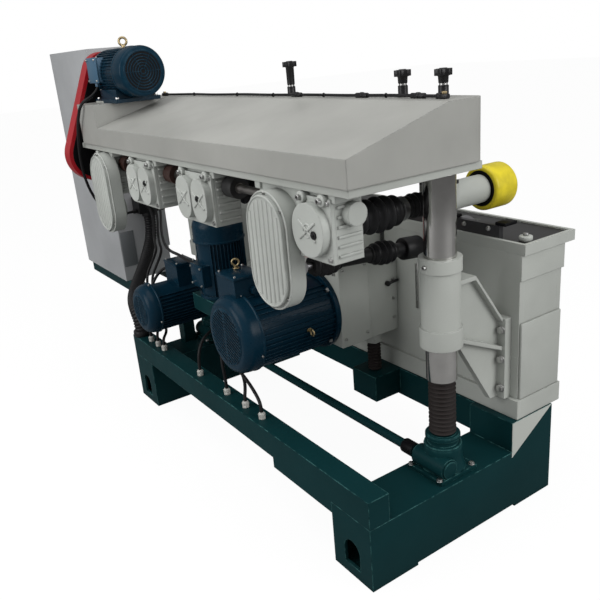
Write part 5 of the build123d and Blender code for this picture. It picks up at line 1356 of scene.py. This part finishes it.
# Bed and table trim: end panel, corner boss, graduated strip, and guide shoes on the fence
BED_END = 0.888
BOSS = Vector((0.860, 0.317, 0.955))
STRIP_X = 0.412
MARKS = 36
MARKS_LOW = 0.6225
MARK_PITCH = 0.005
MARK_START = STRIP_X - 0.007
LONG_MARK = 0.011
SHORT_MARK = 0.006
LONG_EVERY = 5
FENCE_TOP = 1.001
FENCE_FRONT = 0.271
FENCE_BOLTS_X = (0.640, 0.746)
SHOES = ((0.540, 0.606, 0.297), (0.772, 0.815, 0.330))
cast, steel, dark = fresh(3)
block(cast, (BED_END, 0.262, 0.411), (BED_END + 0.010, 0.466, 0.688), 0.004)
rod(cast, BOSS, BOSS + 0.017 * Z, 0.022, 0.004)
rod(steel, BOSS + 0.017 * Z, BOSS + 0.025 * Z, 0.009, 0.002)
block(steel, (STRIP_X - 0.008, 0.2565, 0.620), (STRIP_X + 0.008, 0.258, 0.800), 0.0004)
for mark in range(MARKS):
    length = SHORT_MARK if mark % LONG_EVERY else LONG_MARK
    z = MARKS_LOW + MARK_PITCH * mark
    block(dark, (MARK_START, 0.2562, z), (MARK_START + length, 0.2566, z + 0.0012))
for start, end, back in SHOES:
    block(dark, (start, FENCE_FRONT, FENCE_TOP), (end, back, FENCE_TOP + 0.012), 0.003)
for x in FENCE_BOLTS_X:
    hex_bolt(steel, (x, FENCE_FRONT, FENCE_TOP - 0.014), -Y, size=0.008)
piece("bed_trim", cast, cream_paint, "base")
piece("bed_steel", steel, zinc, "base")
piece("guide_shoe", dark, black_paint, "base")

# Main carriage trim: gib screws, lock lever, seam bolts and the nut over the screw
CARRIAGE_SIDE = 0.296
GIB_SCREWS_Z = (0.560, 0.640, 0.720, 0.790)
LEVER = Vector((CARRIAGE_SIDE, 0.206, 0.709))
SCREW_NUT = Vector((0.250, 0.165, 0.463))
cast, steel, dark = fresh(3)
for z in GIB_SCREWS_Z:
    socket_screw(steel, (CARRIAGE_SIDE, 0.236, z), X, size=0.007)
rod(dark, LEVER, LEVER + 0.014 * X, 0.010, 0.001)
rod(dark, LEVER + 0.009 * X, LEVER + Vector((0.016, 0.046, 0.007)), 0.0055, 0.002, sides=20)
rod(cast, SCREW_NUT, SCREW_NUT + 0.015 * Z, 0.036, 0.003, HEX_SIDES)
for x, z in product((0.040, 0.286), (0.560, 0.805)):
    socket_screw(steel, (x, -0.037, z), -Y, size=0.008)
for y, z in product((-0.020, 0.085), (0.545, 0.820)):
    socket_screw(steel, (0.313, y, z), X, size=0.007)
piece("carriage_nut", cast, cream_paint, "main_head")
piece("carriage_screws", steel, zinc, "main_head")
piece("lock_lever", dark, black_plastic, "main_head")

# Cabinet trim: side panel, cable box lid with screws, the box's glands and the conduit's two collars
CABINET_SIDE = -1.551
BOX_LID = 0.006
BOX_EDGE = Vector((0.004, 0.004, 0))
BOX_SCREW = 0.014
conduit_collar = [
    (0, 0), (0, 0.041), (0.006, 0.042), (0.022, 0.042), (0.026, 0.040), (0.030, 0.030), (0.030, 0)]
grey, dark, steel = fresh(3)
block(grey, (CABINET_SIDE, -0.186, 0.485), (CABINET_SIDE + 0.002, -0.104, 0.690), 0.0006)
box_low, box_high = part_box("cable_box")
lid_low = Vector((box_low.x, box_low.y, box_high.z))
block(dark, lid_low + BOX_EDGE, box_high - BOX_EDGE + BOX_LID * Z, 0.002)
screws_x = (box_low.x + BOX_SCREW, box_high.x - BOX_SCREW)
screws_y = (box_low.y + BOX_SCREW, box_high.y - BOX_SCREW)
for x, y in product(screws_x, screws_y):
    socket_screw(steel, (x, y, box_high.z + BOX_LID), Z, size=0.005)
gland_nut(dark, side_cable_route[0], 0.023 * X)
gland_nut(dark, feed_cable_route[0], -0.022 * Y)
for place, way in ((conduit_route[0], -1), (conduit_route[-1], 1)):
    turned(dark, Matrix.Translation(place), [(way * along, radius) for along, radius in conduit_collar])
piece("cabinet_panel", grey, panel_paint, "base")
piece("cable_entries", dark, black_plastic, "base")
piece("cable_box_screws", steel, zinc, "base")


# Floor, light and background
WHITE = tone(1, 1, 1)
FLOOR_GREY = tone(0.28, 0.28, 0.28)
FLOOR_HALF = 30
FLOOR_GLOW = 0.8
GLOW_STRENGTH = 1.19
bm = bmesh.new()
bmesh.ops.create_grid(bm, x_segments=1, y_segments=1, size=FLOOR_HALF)
floor_mesh = bpy.data.meshes.new("floor")
bm.to_mesh(floor_mesh)
bm.free()
floor = bpy.data.objects.new("floor", floor_mesh)
scene.collection.objects.link(floor)
floor_coat = Finish("pale_floor")
floor_mesh.materials.append(floor_coat.done(Base_Color=FLOOR_GREY, Roughness=0.9))
floor_tree = floor_coat.tree
seen = floor_coat.point.node("LightPath", {}, {}, "Is Camera Ray")
glow = floor_coat.point.node("Emission", {}, {"Color": WHITE, "Strength": GLOW_STRENGTH})
plain = Wire(floor_tree, floor_coat.shader.outputs["BSDF"])
mixed = glow.node("MixShader", {}, {0: FLOOR_GLOW * seen, 1: plain, 2: glow})
floor_tree.links.new(mixed.socket, floor_tree.nodes["Material Output"].inputs["Surface"])

AMBIENT = 0.44
GLOSSY = 0.32
BACKGROUND = 1.0
world = bpy.data.worlds.new("studio")
scene.world = world
world.use_nodes = True
world_tree = world.node_tree
rays = world_tree.nodes.new("ShaderNodeLightPath").outputs
camera_ray = Wire(world_tree, rays["Is Camera Ray"])
glossy_ray = Wire(world_tree, rays["Is Glossy Ray"])
strength = AMBIENT + (BACKGROUND - AMBIENT) * camera_ray + (GLOSSY - AMBIENT) * glossy_ray
background = world_tree.nodes["Background"]
background.inputs["Color"].default_value = WHITE
world_tree.links.new(strength.socket, background.inputs["Strength"])


def area_light(name, place, target, size, power):
    """A square soft light at a place, turned towards a target."""
    data = bpy.data.lights.new(name, "AREA")
    data.size = size
    data.energy = power
    lamp = bpy.data.objects.new(name, data)
    turn = (Vector(target) - Vector(place)).to_track_quat("-Z", "Y")
    lamp.matrix_world = Matrix.Translation(place) @ turn.to_matrix().to_4x4()
    scene.collection.objects.link(lamp)


area_light("overhead", (0.3, -0.8, 4.6), (-0.2, 0, 0.8), size=4.0, power=82)
area_light("outfeed_side", (4.6, 1.2, 2.6), (0, 0, 0.8), size=2.6, power=100)
area_light("drive_side", (-0.8, -4.6, 2.4), (-0.2, 0, 0.8), size=3.0, power=98)
